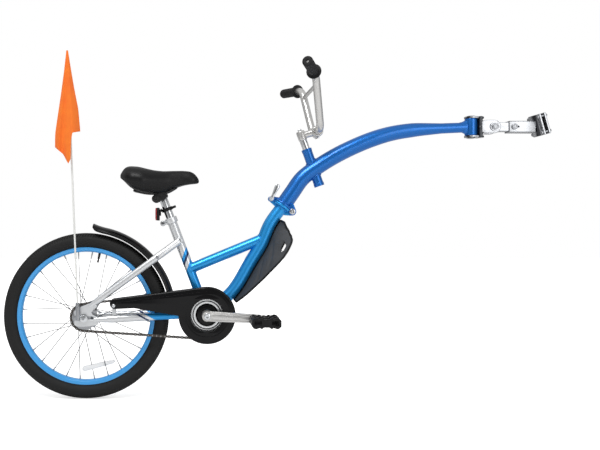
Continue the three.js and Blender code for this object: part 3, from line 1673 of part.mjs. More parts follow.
// Seat-post clamp: two shells, two grips and four bolts, leaning like the post
const shellInner = hitch.postRadius + hitch.insertThickness + 2 * gap;
const shellOuter = shellInner + hitch.shellThickness;
const leaned = (solid) => turned(solid, left, -hitch.clampLean);
const clampTube = (inner, outer, height) =>
  cut(
    rod(at(0, 0, -height / 2), at(0, 0, height / 2), outer, 14),
    rod(at(0, 0, -height), at(0, 0, height), inner, 14),
  );
const halfSpace = (way, edge) =>
  block(at(way * (edge + shellOuter * 2), 0, 0), 4 * shellOuter, 8 * shellOuter, 4 * hitch.clampHeight);
const clampBoltPlaces = [-1, 1].flatMap((side) =>
  [-1, 1].map((high) => ({
    y: side * (shellOuter + hitch.lugReach / 2 - weld),
    z: high * (hitch.clampHeight / 2 - hitch.boltInset),
  })),
);
function clampShell(way) {
  const lugInner = hitch.splitGap / 2;
  const lugOuter = lugInner + hitch.lugThickness;
  const lugMiddle = shellOuter + hitch.lugReach / 2 - weld - hitch.shellThickness / 2;
  const lugs = [-1, 1].map((side) =>
    block(
      at((way * (lugInner + lugOuter)) / 2, side * lugMiddle, 0),
      hitch.lugThickness,
      hitch.lugReach + hitch.shellThickness,
      hitch.clampHeight,
    ),
  );
  const half = clampTube(shellInner, shellOuter, hitch.clampHeight).intersect(halfSpace(way, lugInner));
  const bores = clampBoltPlaces.map(({ y, z }) =>
    hole(at(-shellOuter, y, z), at(shellOuter, y, z), hitch.clampBoltRadius + gap, 8),
  );
  const room = rod(at(0, 0, -hitch.clampHeight), at(0, 0, hitch.clampHeight), shellInner, 14);
  return leaned(cut(join(half, ...lugs), room, ...bores));
}
function clampInsert(way) {
  const ring = clampTube(hitch.postRadius, shellInner - gap, hitch.clampHeight);
  return leaned(ring.intersect(halfSpace(way, hitch.gripSplitGap / 2)));
}
function receiver() {
  const half = hitch.receiverSize / 2;
  const cavity = hitch.tongueSize / 2 + gap;
  const back = -hitch.receiverBack;
  const middle = at((back + receiverFront) / 2, 0, pitchPoint.z);
  const box = block(middle, receiverFront - back, 2 * half, 2 * half);
  const bore = block(
    at((back - hitch.tongueEnd) / 2 - overrun + gap, 0, pitchPoint.z),
    -hitch.tongueEnd - back + 2 * overrun,
    2 * cavity,
    2 * cavity,
  );
  const lockPlace = at(-hitch.lockHoleBack, 0, pinPlace.z);
  const lockHole = crossRod(lockPlace, -hitch.receiverSize, 0, hitch.lockHoleRadius, 12);
  const pinHole = crossHole(pinPlace, -hitch.receiverSize, hitch.receiverSize, hitch.pinRadius + gap, 12);
  const postRoom = leaned(rod(at(0, 0, -hitch.clampHeight), at(0, 0, hitch.clampHeight), shellInner, 14));
  return join(cut(box, bore, lockHole, pinHole, postRoom), clampShell(-1));
}
function clampBolt({ y, z }) {
  const face = hitch.splitGap / 2 + hitch.lugThickness + gap;
  return leaned(
    join(
      rod(at(-face - weld, y, z), at(face + hitch.clampBoltHeadThickness, y, z), hitch.clampBoltRadius, 8),
      rod(at(-face - hitch.clampBoltHeadThickness, y, z), at(-face, y, z), hitch.clampBoltHeadRadius, 10),
      rod(at(face, y, z), at(face + hitch.clampBoltHeadThickness / 2, y, z), hitch.clampBoltHeadRadius, 6),
    ),
  );
}
piece("hitch_receiver", receiver(), chrome);
piece("clamp_cap", clampShell(1), chrome);
piece("clamp_insert_rear", clampInsert(-1), rubber);
piece("clamp_insert_front", clampInsert(1), rubber);
clampBoltPlaces.forEach((place, i) => piece(`clamp_bolt_${i + 1}`, clampBolt(place), steel));

// Seat post, collar and saddle
const postTop = along(seatTop, seatLine, seat.postTop);
const saddlePivot = along(postTop, seatLine, seat.clampSeat);
function seatPost() {
  const post = rod(along(seatTop, seatLine, -seat.postInsert), saddlePivot, frame.seatPostRadius, 12);
  const cupHalf = 2 * seat.clampHalfWidth;
  return cut(post, crossHole(saddlePivot, -cupHalf, cupHalf, seat.clampRadius + gap, 12));
}
const collarMiddle = along(seatTop, seatLine, -seat.collarHeight / 2);
const seatBack = at(-seatLine.z, 0, seatLine.x);
const seatSkewer = along(collarMiddle, seatBack, seat.earBack);
const seatClampHalf = seat.collarSlit / 2 + seat.earThickness;
function seatCollar() {
  const half = seat.collarHeight / 2;
  const ringFoot = along(collarMiddle, seatLine, -half);
  const ring = rod(ringFoot, along(collarMiddle, seatLine, half), seat.collarRadius, 14);
  const earRoot = along(collarMiddle, seatBack, seat.collarRadius - seat.earRadius);
  const earShape = linkShape(seatSkewer, seat.earRadius, earRoot, seat.earRadius);
  const ears = sidePlate(earShape, -seatClampHalf, seatClampHalf);
  const bore = hole(
    along(collarMiddle, seatLine, -seat.collarHeight),
    along(collarMiddle, seatLine, seat.collarHeight),
    frame.seatTubeRadius + gap,
    12,
  );
  const slitShape = linkShape(seatSkewer, seat.collarHeight, collarMiddle, seat.collarHeight);
  const slitEnd = along(seatSkewer, seatBack, 2 * seat.earRadius);
  const slitRoom = rod(slitEnd, collarMiddle, seat.collarHeight, 12);
  const slit = sidePlate(slitShape, -seat.collarSlit / 2, seat.collarSlit / 2).intersect(slitRoom);
  const skewerBoreHalf = 2 * seatClampHalf;
  const skewerBore = crossHole(seatSkewer, -skewerBoreHalf, skewerBoreHalf, seat.skewerRadius + gap, 12);
  return cut(join(ring, ears), bore, slit, skewerBore);
}
piece("seat_post", seatPost(), chrome);
piece("seat_collar", seatCollar(), silverPaint);
piece("seat_skewer", quickRelease(seatSkewer, seatClampHalf, 1, seatRelease), steel);
const seatLeverWay = heading(seat.leverSlope);
piece("seat_lever", quickReleaseLever(seatSkewer, seatClampHalf, 1, seatLeverWay, seatRelease), chrome);

// Saddle clamp: a barrel across the post's cupped top, with grooves for the rails
const railHeight = seat.clampRadius - seat.railSunk;
const railMiddle = along(saddlePivot, up, railHeight);
function railRoute() {
  const half = seat.saddleLength / 2;
  const rearTop = saddleBase.z - gap - seat.railRadius;
  const frontShare = (seat.saddleBehind + half * railShares.front) / seat.saddleLength;
  const frontTop = saddleUnder(frontShare) - gap - seat.railRoom - seat.railRadius;
  const place = (share, y, z) => at(railMiddle.x + half * share, y, z);
  const side = (way) => [
    place(-railShares.rear, way * seat.railSpread * (5 / 4), rearTop),
    place(-railShares.rearFlat, way * seat.railSpread, railMiddle.z),
    place(railShares.frontFlat, way * seat.railSpread, railMiddle.z),
    place(railShares.front, way * seat.railRadius * 3, frontTop),
  ];
  return bentRoute([...side(-1), ...side(1).reverse()], seat.railBend);
}
const saddleBase = at(saddlePivot.x, 0, saddlePivot.z + seat.saddleTop - seat.saddleHeight);
const saddleCrown = (share) => between(saddleTopShares, share) * seat.saddleHeight;
const saddleUnder = (share) => saddleBase.z + between(saddleFloorShares, share) * saddleCrown(share);
function saddleRails() {
  return sweep(railRoute(), 20, 6, () => seat.railRadius, { side: up });
}
function saddleClamp() {
  const barrel = crossRod(saddlePivot, -seat.clampHalfWidth, seat.clampHalfWidth, seat.clampRadius, 12);
  const grooves = [-1, 1].map((side) =>
    hole(
      offset(along(railMiddle, forward, -2 * seat.clampRadius), side * seat.railSpread),
      offset(along(railMiddle, forward, 2 * seat.clampRadius), side * seat.railSpread),
      seat.railRadius + gap,
      8,
    ),
  );
  return cut(barrel, ...grooves);
}
piece("saddle_rails", saddleRails(), steel);
piece("saddle_clamp", saddleClamp(), steel);

// Saddle: crowned cushion, wide behind and narrow at the nose, its sides drawn in below
function saddle() {
  const rear = saddlePivot.x - seat.saddleBehind;
  return formed(new THREE.BoxGeometry(1, 1, 1, 14, 8, 3), (x, y, z) => {
    const share = x + 1 / 2;
    const high = z + 1 / 2;
    const across = 2 * y;
    const crown = saddleCrown(share) * (1 - saddleCrownShare * Math.abs(across) ** 3);
    const rise = THREE.MathUtils.lerp(between(saddleFloorShares, share), 1, high) * crown;
    const skirtShare = between(saddleSkirtShares, share) * Math.max(0, 2 * Math.abs(across) - 1) * (1 - high);
    const half = (between(saddleWidthShares, share) * seat.saddleWidth) / 2;
    const drawnIn = saddleDrawInShare * (1 - high) ** 1.5 + saddleEdgeShare * (high * across) ** 4;
    const height = saddleBase.z + rise - skirtShare * seat.skirtDepth;
    return at(rear + share * seat.saddleLength, across * half * (1 - drawnIn), height);
  });
}
piece("saddle", saddle(), rubber);

// Rear reflector on a bracket round the seat post
const reflectorRing = along(seatTop, seatLine, reflector.along);
const lensFront = at(reflectorRing.x - reflector.ringRadius - reflector.screwRadius, 0, reflectorRing.z);
function reflectorBracket() {
  const half = reflector.ringHeight / 2;
  const ringFoot = along(reflectorRing, seatLine, -half);
  const ring = rod(ringFoot, along(reflectorRing, seatLine, half), reflector.ringRadius, 12);
  const screw = rod(
    along(reflectorRing, seatBack, -reflector.ringRadius + weld),
    along(reflectorRing, seatBack, -reflector.ringRadius - reflector.screwReach),
    reflector.screwRadius,
    10,
  );
  const linkStart = along(reflectorRing, seatBack, reflector.ringRadius - weld * 2);
  const link = rod(linkStart, lensFront, reflector.screwRadius, 10);
  const plate = block(
    at(lensFront.x - gap, 0, lensFront.z - reflector.height / 4),
    reflector.screwRadius,
    reflector.width / 2,
    reflector.height / 2,
  );
  const bore = hole(
    along(reflectorRing, seatLine, -reflector.ringHeight),
    along(reflectorRing, seatLine, reflector.ringHeight),
    frame.seatPostRadius + gap,
    12,
  );
  return cut(join(ring, screw, link, plate), bore);
}
function rearReflector() {
  const face = lensFront.x - reflector.screwRadius / 2 - 2 * gap;
  const half = reflector.width / 2;
  const low = -reflector.height;
  const c = reflector.corner;
  const shape = outline([
    [-half + c, 0],
    [half - c, 0],
    [half, -c],
    [half, low + c],
    [half - c, low],
    [-half + c, low],
    [-half, low + c],
    [-half, -c],
  ]);
  const geometry = new THREE.ExtrudeGeometry(shape, { depth: reflector.thickness, bevelEnabled: false });
  geometry.rotateX(Math.PI / 2);
  geometry.rotateZ(Math.PI / 2);
  geometry.translate(face - reflector.thickness, 0, lensFront.z + reflector.ringHeight / 2);
  return solidOf(geometry);
}
piece("reflector_bracket", reflectorBracket(), blackPlastic);
piece("rear_reflector", rearReflector(), redLens);

// Flag: bracket on the axle, pole and hanging cloth
const poleLine = at(-Math.sin(flag.poleLean), 0, Math.cos(flag.poleLean));
const poleFoot = offset(
  along(axlePoint, forward, -axle.nutRadius - flag.socketRadius - gap),
  -bracketOuter - flag.socketRadius + weld,
);
function flagBracket() {
  const plate = sidePlate(
    linkShape(axlePoint, flag.plateRadius, poleFoot, flag.socketRadius),
    -tensionerOuter - gap,
    -bracketOuter,
  );
  const socket = rod(
    along(poleFoot, poleLine, -flag.socketRadius),
    along(poleFoot, poleLine, flag.socketLength),
    flag.socketRadius,
    12,
  );
  const boreEnd = along(poleFoot, poleLine, flag.socketLength + overrun);
  const bore = hole(poleFoot, boreEnd, flag.poleRadius + gap, 10);
  const axleHole = crossHole(axlePoint, -2 * bracketOuter, 0, axle.radius + gap, 12);
  return cut(join(plate, socket), bore, axleHole);
}
piece("flag_bracket", flagBracket(), steel);
const poleTop = along(poleFoot, poleLine, flag.poleLength);
const pole = rod(along(poleFoot, poleLine, gap), poleTop, flag.poleRadius, 10);
piece("flag_pole", pole, whiteGlassFibre);

function flagCloth() {
  return formed(new THREE.BoxGeometry(1, 1, 1, 18, 12, 1), (x, y, z) => {
    const across = x + 1 / 2;
    const down = 1 / 2 - y;
    const reach = THREE.MathUtils.lerp(
      -between(clothLeftShares, down),
      between(clothRightShares, down),
      across,
    );
    const hem = THREE.MathUtils.lerp(1, clothRightHemShare, across ** 2);
    const spine = along(poleTop, poleLine, -down * hem * flag.clothHeight);
    const wave = (1 - Math.cos(across * flag.folds * 2 * Math.PI)) / 2;
    const depth = flag.foldDepth * down * wave + (z + 1 / 2) * flag.clothThickness;
    const place = along(spine, forward, reach * flag.clothWidth);
    return offset(place, -flag.poleRadius - gap - depth);
  });
}
piece("flag_cloth", flagCloth(), orangeCloth);

export default bike;
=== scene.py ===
import json
import math

import bmesh
import bpy
from mathutils import Matrix, Vector


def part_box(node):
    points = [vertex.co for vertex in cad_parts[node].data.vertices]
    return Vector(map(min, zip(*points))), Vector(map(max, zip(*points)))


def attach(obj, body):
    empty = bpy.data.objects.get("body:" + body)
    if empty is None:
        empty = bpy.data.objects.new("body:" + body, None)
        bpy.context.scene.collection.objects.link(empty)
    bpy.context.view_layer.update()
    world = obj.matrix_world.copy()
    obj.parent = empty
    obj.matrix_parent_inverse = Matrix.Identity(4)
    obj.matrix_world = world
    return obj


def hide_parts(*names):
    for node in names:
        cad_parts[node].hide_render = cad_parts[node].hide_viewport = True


# A child's trailer bike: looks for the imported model.
# Sizes are in millimetres and turned to metres where a mesh is made.
# +X is forward, +Y the rider's left, +Z up; the drive side faces -Y, towards the camera.
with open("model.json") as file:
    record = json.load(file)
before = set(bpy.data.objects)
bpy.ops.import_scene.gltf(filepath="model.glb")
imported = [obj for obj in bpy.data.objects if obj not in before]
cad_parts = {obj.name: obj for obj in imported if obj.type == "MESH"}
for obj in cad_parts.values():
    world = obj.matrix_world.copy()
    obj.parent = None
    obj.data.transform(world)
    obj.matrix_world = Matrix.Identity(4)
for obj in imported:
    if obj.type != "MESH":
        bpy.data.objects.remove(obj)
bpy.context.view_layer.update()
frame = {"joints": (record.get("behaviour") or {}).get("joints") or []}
mm = 0.001
joints = {joint["name"]: joint for joint in frame["joints"]}


def jointPoint(name):
    return Vector(joints[name]["pos_m"]) / mm


def nodeBox(name):
    low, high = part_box(name)
    return low / mm, high / mm


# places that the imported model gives
axlePoint = jointPoint("wheel_spin")
bracketPoint = jointPoint("crank_spin")
pinPoint = jointPoint("frame_fold")
yawPoint = jointPoint("hitch_yaw")
pitchPoint = jointPoint("hitch_pitch")
barPoint = jointPoint("handlebar_tilt")
saddlePivot = jointPoint("saddle_tilt")
foldCam = jointPoint("fold_lever_swing")
seatCam = jointPoint("seat_lever_swing")
seatLine = Vector(joints["seat_height"]["axis"])
headLine = Vector(joints["stem_height"]["axis"])
forward, across, up = Vector((1, 0, 0)), Vector((0, 1, 0)), Vector((0, 0, 1))
gap = 0.3  # between pieces that touch


# the camera stands where the photograph was taken from
# pixels of the photograph: its size, the one straight ahead of the lens (spot) and the model's origin
camera = {"wide": 600, "high": 450, "spotX": 189, "spotY": 225, "originX": 539.4, "originY": 125,
          "focalPixels": 720, "pixel": 3.055, "distance": 2200, "sensor": 36}


def makeCamera():
    data = bpy.data.cameras.new("camera")
    data.sensor_width = camera["sensor"]
    data.lens = camera["focalPixels"] / camera["wide"] * data.sensor_width
    data.shift_x = (camera["wide"] / 2 - camera["spotX"]) / camera["wide"]
    data.shift_y = (camera["spotY"] - camera["high"] / 2) / camera["wide"]
    eye = bpy.data.objects.new("camera", data)
    bpy.context.scene.collection.objects.link(eye)
    eye.location = (
        (camera["spotX"] - camera["originX"]) * camera["pixel"] * mm,
        -camera["distance"] * mm,
        (camera["originY"] - camera["spotY"]) * camera["pixel"] * mm,
    )
    eye.rotation_euler = (math.pi / 2, 0, 0)
    bpy.context.scene.camera = eye


makeCamera()
print("camera placed")


# materials: nodes, grain and one function that makes them all
def linear(hexCode):
    parts = [int(hexCode[i : i + 2], 16) / 255 for i in (1, 3, 5)]
    return [c / 12.92 if c <= 0.04045 else ((c + 0.055) / 1.055) ** 2.4 for c in parts] + [1]


def addNode(tree, kind, settings=None, inputs=None):
    node = tree.nodes.new("ShaderNode" + kind)
    for key, value in (settings or {}).items():
        setattr(node, key, value)
    for key, value in (inputs or {}).items():
        if isinstance(value, bpy.types.NodeSocket):
            tree.links.new(value, node.inputs[key])
        else:
            node.inputs[key].default_value = value
    return node


def bandColour(tree, place, bands):
    # stripes across a tube: the distance along a direction picks the colour
    direction, stops = bands
    distance = addNode(tree, "VectorMath", {"operation": "DOT_PRODUCT"}, {0: place, 1: direction})
    low, high = stops[0][0], stops[-1][0] + 10
    share = addNode(tree, "MapRange", inputs={0: distance.outputs["Value"], 1: low * mm, 2: high * mm})
    ramp = addNode(tree, "ValToRGB", inputs={0: share.outputs[0]})
    ramp.color_ramp.interpolation = "CONSTANT"
    elements = ramp.color_ramp.elements
    while len(elements) < len(stops):
        elements.new(1)
    for element, (start, colour) in zip(elements, stops):
        element.position = (start - low) / (high - low)
        element.color = linear(colour)
    return ramp.outputs["Color"]


def grainHeight(tree, place, look):
    # one repeat of the pattern is grainMm wide
    scale = 1 / (look["grainMm"] * mm)
    kind = look["grain"]
    if kind == "weave":
        # the wave texture draws 3.2 rows to a unit, so one thread over and one under take two grains
        inputs = {"Vector": place, "Scale": scale / 6.3, "Distortion": 0.4}
        warp, weft = [addNode(tree, "TexWave", {"bands_direction": way}, inputs).outputs["Fac"]
                      for way in ("X", "Z")]
        return addNode(tree, "Math", {"operation": "ADD"}, {0: warp, 1: weft}).outputs[0]
    if kind == "leather":
        cells = addNode(tree, "TexVoronoi", {"feature": "DISTANCE_TO_EDGE"}, {"Vector": place, "Scale": scale})
        return addNode(tree, "MapRange", inputs={0: cells.outputs["Distance"], 1: 0.0, 2: 0.14}).outputs[0]
    if kind == "prisms":
        inputs = {"Vector": place, "Scale": scale, "Randomness": 0.0}
        return addNode(tree, "TexVoronoi", {"distance": "CHEBYCHEV"}, inputs).outputs["Distance"]
    if kind == "brushed":
        drawn = addNode(tree, "Mapping", inputs={"Vector": place, "Scale": look["drawn"]})
        place = drawn.outputs["Vector"]
    return addNode(tree, "TexNoise", inputs={"Vector": place, "Scale": scale, "Detail": 3.0}).outputs["Fac"]


def paintedEdgeReflectionMask(tree):
    # 1 where the surface turns from one flat side to the next, 0 on the flats of a piece along its axes: where
    # a dark line is painted on rounded edges as a painted reflection of dark surroundings
    turn = addNode(tree, "SeparateXYZ", inputs={0: addNode(tree, "TexCoord").outputs["Normal"]})
    parts = [addNode(tree, "Math", {"operation": "ABSOLUTE"}, {0: turn.outputs[k]}).outputs[0]
             for k in range(3)]
    most = addNode(tree, "Math", {"operation": "MAXIMUM"}, {0: parts[0], 1: parts[1]}).outputs[0]
    most = addNode(tree, "Math", {"operation": "MAXIMUM"}, {0: most, 1: parts[2]}).outputs[0]
    return addNode(tree, "MapRange", inputs={0: most, 1: 0.97, 2: 0.8, 3: 0.0, 4: 1.0}).outputs[0]


def makeSurface(name, look):
    material = bpy.data.materials.new(name)
    material.use_nodes = True
    tree = material.node_tree
    shader = tree.nodes["Principled BSDF"]
    place = addNode(tree, "TexCoord").outputs["Object"]
    mottle = addNode(tree, "TexNoise",
                     inputs={"Vector": place, "Scale": 1 / (look["mottleMm"] * mm), "Detail": 5.0})
    if "bands" in look:
        colour = bandColour(tree, place, look["bands"])
        shade = addNode(tree, "HueSaturation",
                        inputs={"Color": colour, "Value": look["shadeValue"]}).outputs["Color"]
    else:
        colour, shade = linear(look["colour"]), linear(look["shade"])
    tint = addNode(tree, "Mix", {"data_type": "RGBA"}, {0: mottle.outputs["Fac"], 6: shade, 7: colour})
    # painted reflection: rounded edges are darkened towards the look's edge colour, as if they mirrored dark
    # surroundings
    if "edge" in look:
        tint = addNode(tree, "Mix", {"data_type": "RGBA"},
                       {0: paintedEdgeReflectionMask(tree), 6: tint.outputs[2], 7: linear(look["edge"])})
    low, high = look["rough"]
    rough = addNode(tree, "MapRange", inputs={0: mottle.outputs["Fac"], 1: 0.3, 2: 0.7, 3: low, 4: high})
    height = grainHeight(tree, place, look)
    bump = addNode(tree, "Bump",
                   inputs={"Height": height, "Distance": look["depthMm"] * mm,
                           "Strength": look.get("bump", 0.6)})
    tree.links.new(tint.outputs[2], shader.inputs["Base Color"])
    tree.links.new(rough.outputs[0], shader.inputs["Roughness"])
    tree.links.new(bump.outputs["Normal"], shader.inputs["Normal"])
    for socket, value in look.get("shader", {}).items():
        shader.inputs[socket].default_value = value
    return material


# Lacquer: metal flake in a base colour under clear coat, faint orange peel, bright where it faces the light
lacquer = {"mottleMm": 1.2, "rough": (0.3, 0.38), "grain": "noise", "grainMm": 7, "depthMm": 0.04, "bump": 0.15,
           "shader": {"Metallic": 0.7, "Coat Weight": 0.45, "Coat Roughness": 0.1, "IOR": 1.5}}
blue, silver, navy = "#229DE8", "#E3E5E7", "#16305E"
seatTubeBands = ((0.946, 0, -0.325),
                 [(-1400, silver), (-901.5, blue), (-892, navy), (-886, silver), (-877, blue)])
chainStayBands = ((0.495, 0, 0.869), [(-1500, silver), (-1107, navy), (-1102, "#F4F6F8"), (-1093, blue)])
frameLacquer = makeSurface("blueLacquerFrame", {**lacquer, "bands": seatTubeBands, "shadeValue": 0.95})
stayLacquer = makeSurface("bandedLacquerStays", {**lacquer, "bands": chainStayBands, "shadeValue": 0.95})
armLacquer = makeSurface("deepBlueLacquerArm", {**lacquer, "colour": "#106FC6", "shade": "#0E65B8"})
silverLacquer = makeSurface("silverLacquer", {**lacquer, "colour": silver, "shade": "#DCDEE0"})
# Rim: powder-coated rolled alloy, an even light blue with a soft gloss
rimCoat = makeSurface("powderCoatedRim", {
    "colour": "#42A6EC", "shade": "#3B9EE4", "mottleMm": 6, "rough": (0.28, 0.38), "grain": "noise",
    "grainMm": 1.5, "depthMm": 0.04, "shader": {"Coat Weight": 0.5, "Coat Roughness": 0.15, "IOR": 1.5}})
# Chrome plate on pressed steel: mirror-like, with faint smears
chromePlate = makeSurface("chromePlate", {
    "colour": "#E6E8EA", "shade": "#D5D8DB", "mottleMm": 25, "rough": (0.06, 0.16), "grain": "noise",
    "grainMm": 12, "depthMm": 0.03, "bump": 0.2, "shader": {"Metallic": 1.0}})
# Hitch plates: bright zinc over drawn steel, satin, a shade darker than chrome to stand off a white ground; the
# dark lines on their rounded edges are a painted reflection of dark surroundings
hitchPlate = makeSurface("brightZincPlate", {
    "colour": "#CDCFD2", "shade": "#BEC0C4", "mottleMm": 10, "rough": (0.24, 0.34), "grain": "brushed",
    "grainMm": 1.4, "drawn": (0.08, 1, 1), "depthMm": 0.01, "bump": 0.1, "edge": "#3E3F42",
    "shader": {"Metallic": 0.95}})
# Forged alloy, tumbled and polished: pale, soft highlights, drawn along its length
forgedAlloy = makeSurface("forgedAlloy", {
    "colour": "#DCDBD9", "shade": "#CFCECC", "mottleMm": 14, "rough": (0.26, 0.34), "grain": "brushed",
    "grainMm": 1.6, "drawn": (0.08, 1, 1), "depthMm": 0.01, "bump": 0.05, "shader": {"Metallic": 0.85}})
# Satin chrome on the chainring: the same plate over a brushed face, so it reads as a bright band
satinChrome = makeSurface("satinChrome", {
    "colour": "#F4F5F6", "shade": "#E8EAEC", "mottleMm": 16, "rough": (0.2, 0.28), "grain": "noise",
    "grainMm": 3, "depthMm": 0.01, "bump": 0.1, "shader": {"Metallic": 0.9}})
# Galvanised steel of the spokes and of the yoke's web: dull grey, darker than the nuts
dullZinc = makeSurface("galvanisedSteel", {
    "colour": "#56585B", "shade": "#3E4043", "mottleMm": 5, "rough": (0.3, 0.42), "grain": "noise",
    "grainMm": 0.8, "depthMm": 0.01, "shader": {"Metallic": 0.9}})
# Black-painted steel under the saddle: satin, with dust in its mottle
blackSteel = makeSurface("blackPaintedSteel", {
    "colour": "#161617", "shade": "#0F0F10", "mottleMm": 7, "rough": (0.28, 0.4), "grain": "noise",
    "grainMm": 1.2, "depthMm": 0.03, "shader": {"IOR": 1.5}})
# Zinc-plated steel for bolts and nuts: greyer, fine grain
zincSteel = makeSurface("zincPlatedSteel", {
    "colour": "#B9BBBE", "shade": "#9A9CA0", "mottleMm": 4, "rough": (0.22, 0.42), "grain": "noise",
    "grainMm": 0.7, "depthMm": 0.02, "shader": {"Metallic": 1.0}})
# Oiled chain steel: dark, brown-grey, with brighter rubbed spots
chainSteel = makeSurface("oiledChainSteel", {
    "colour": "#6F6A64", "shade": "#35322F", "mottleMm": 3, "rough": (0.28, 0.5), "grain": "noise",
    "grainMm": 0.6, "depthMm": 0.02, "shader": {"Metallic": 0.9}})
# ABS, injection moulded and polished: deep black, hard highlight
glossAbs = makeSurface("mouldedGlossAbs", {
    "colour": "#0E0E10", "shade": "#09090A", "mottleMm": 30, "rough": (0.16, 0.24), "grain": "noise",
    "grainMm": 9, "depthMm": 0.03, "bump": 0.2, "shader": {"IOR": 1.53, "Specular IOR Level": 0.22}})
# Polypropylene, moulded with a fine spark grain: satin black
grainPolypropylene = makeSurface("grainedPolypropylene", {
    "colour": "#151517", "shade": "#0E0E0F", "mottleMm": 12, "rough": (0.34, 0.46), "grain": "noise",
    "grainMm": 0.7, "depthMm": 0.05, "shader": {"IOR": 1.49, "Specular IOR Level": 0.28}})
# Splash guard panel: charcoal ABS, a shade lighter than its border
charcoalAbs = makeSurface("charcoalAbs", {
    "colour": "#4C4E51", "shade": "#3E4043", "mottleMm": 18, "rough": (0.42, 0.54), "grain": "noise",
    "grainMm": 0.9, "depthMm": 0.04, "shader": {"IOR": 1.53, "Specular IOR Level": 0.25}})
# Tyre rubber: matt charcoal, dusty in patches
tyreRubber = makeSurface("vulcanisedTyreRubber", {
    "colour": "#262626", "shade": "#1B1B1B", "mottleMm": 22, "rough": (0.55, 0.72), "grain": "noise",
    "grainMm": 1.1, "depthMm": 0.12, "shader": {"IOR": 1.52, "Specular IOR Level": 0.22}})
# Grip and clamp rubber: softer and blacker, fine matt skin
gripRubber = makeSurface("softGripRubber", {
    "colour": "#1A1A1B", "shade": "#111112", "mottleMm": 6, "rough": (0.48, 0.62), "grain": "noise",
    "grainMm": 0.6, "depthMm": 0.06, "shader": {"IOR": 1.52, "Specular IOR Level": 0.28}})
# Saddle cover: vacuum-formed vinyl with an embossed leather grain, drawn coarser than real so that it shows
saddleVinyl = makeSurface("embossedVinyl", {
    "colour": "#0D0D0E", "shade": "#08080A", "mottleMm": 9, "rough": (0.34, 0.46), "grain": "leather",
    "grainMm": 2.6, "depthMm": 0.08, "bump": 0.35, "shader": {"IOR": 1.5, "Specular IOR Level": 0.3}})
# Flag: woven polyester, its threads drawn 1.4 mm wide, with a soft sheen where the cloth turns away; its broad
# darker orange patches, laid at random, are painted shade standing in for the folds
flagPolyester = makeSurface("wovenOrangePolyester", {
    "colour": "#FD8C1C", "shade": "#EC5A06", "mottleMm": 45, "rough": (0.6, 0.75), "grain": "weave",
    "grainMm": 1.4, "depthMm": 0.08, "shader": {"Sheen Weight": 0.25, "IOR": 1.45}})
# Flag pole: pultruded glass fibre, white and waxy
glassFibre = makeSurface("pultrudedGlassFibre", {
    "colour": "#F1F1EE", "shade": "#E4E4E0", "mottleMm": 8, "rough": (0.3, 0.42), "grain": "brushed",
    "grainMm": 1.2, "drawn": (1, 1, 0.05), "depthMm": 0.03, "shader": {"IOR": 1.54}})
# Reflector lenses: moulded acrylic over corner-cube prisms
redAcrylic = makeSurface("redAcrylicLens", {
    "colour": "#A80C18", "shade": "#820812", "mottleMm": 5, "rough": (0.08, 0.14), "grain": "prisms",
    "grainMm": 2.4, "depthMm": 0.3, "bump": 0.5, "shader": {"Coat Weight": 1.0, "IOR": 1.49}})
clearAcrylic = makeSurface("clearAcrylicLens", {
    "colour": "#FAFBFC", "shade": "#EEF0F2", "mottleMm": 5, "rough": (0.08, 0.16), "grain": "prisms",
    "grainMm": 2.4, "depthMm": 0.3, "bump": 0.5, "shader": {"Coat Weight": 1.0, "IOR": 1.49}})
print("materials made")


# a shape is a list of points in millimetres with a list of faces
def heading(angle):
    return Vector((math.cos(angle), 0, math.sin(angle)))


def sideways(point, y):
    return Vector((point[0], y, point[-1]))


def mixed(a, b, share):
    return a + (b - a) * share


def fromTable(table, share):
    for (a, low), (b, high) in zip(table, table[1:]):
        if share <= b:
            return mixed(low, high, (share - a) / (b - a))
    return table[-1][1]


def eased(table, share, step=0.02):
    # the table's value with its corners smoothed out
    spots = [fromTable(table, min(1, max(0, share + k * step))) for k in (-2, -1, 0, 1, 2)]
    return (spots[0] + 2 * spots[1] + 3 * spots[2] + 2 * spots[3] + spots[4]) / 9


def skin(rings, loop=False, caps=True):
    count, rows = len(rings[0]), len(rings)
    faces = []
    for i in range(rows if loop else rows - 1):
        a, b = i * count, (i + 1) % rows * count
        faces += [(a + j, a + (j + 1) % count, b + (j + 1) % count, b + j) for j in range(count)]
    if caps and not loop:
        faces += [tuple(range(count)), tuple(range((rows - 1) * count, rows * count))]
    return [p for ring in rings for p in ring], faces


def evenly(points, count):
    lengths = [0]
    for a, b in zip(points, points[1:]):
        lengths.append(lengths[-1] + (b - a).length)
    spots, i = [], 0
    for k in range(count):
        want = lengths[-1] * k / (count - 1)
        while i < len(points) - 2 and lengths[i + 1] < want:
            i += 1
        spots.append(mixed(points[i], points[i + 1], (want - lengths[i]) / (lengths[i + 1] - lengths[i])))
    return spots


def smoothPath(points, count=48):
    # centripetal Catmull-Rom through the points
    ends = [points[0] * 2 - points[1], *points, points[-1] * 2 - points[-2]]
    dense = []
    for p0, p1, p2, p3 in zip(ends, ends[1:], ends[2:], ends[3:]):
        t1 = (p1 - p0).length ** 0.5
        t2 = t1 + (p2 - p1).length ** 0.5
        t3 = t2 + (p3 - p2).length ** 0.5
        for k in range(16):
            t = mixed(t1, t2, k / 16)
            a1, a2, a3 = mixed(p0, p1, t / t1), mixed(p1, p2, (t - t1) / (t2 - t1)), mixed(p2, p3,
                                                                                           (t - t2) / (t3 - t2))
            b1, b2 = mixed(a1, a2, t / t2), mixed(a2, a3, (t - t1) / (t3 - t1))
            dense.append(mixed(b1, b2, (t - t1) / (t2 - t1)))
    return evenly([*dense, points[-1]], count)


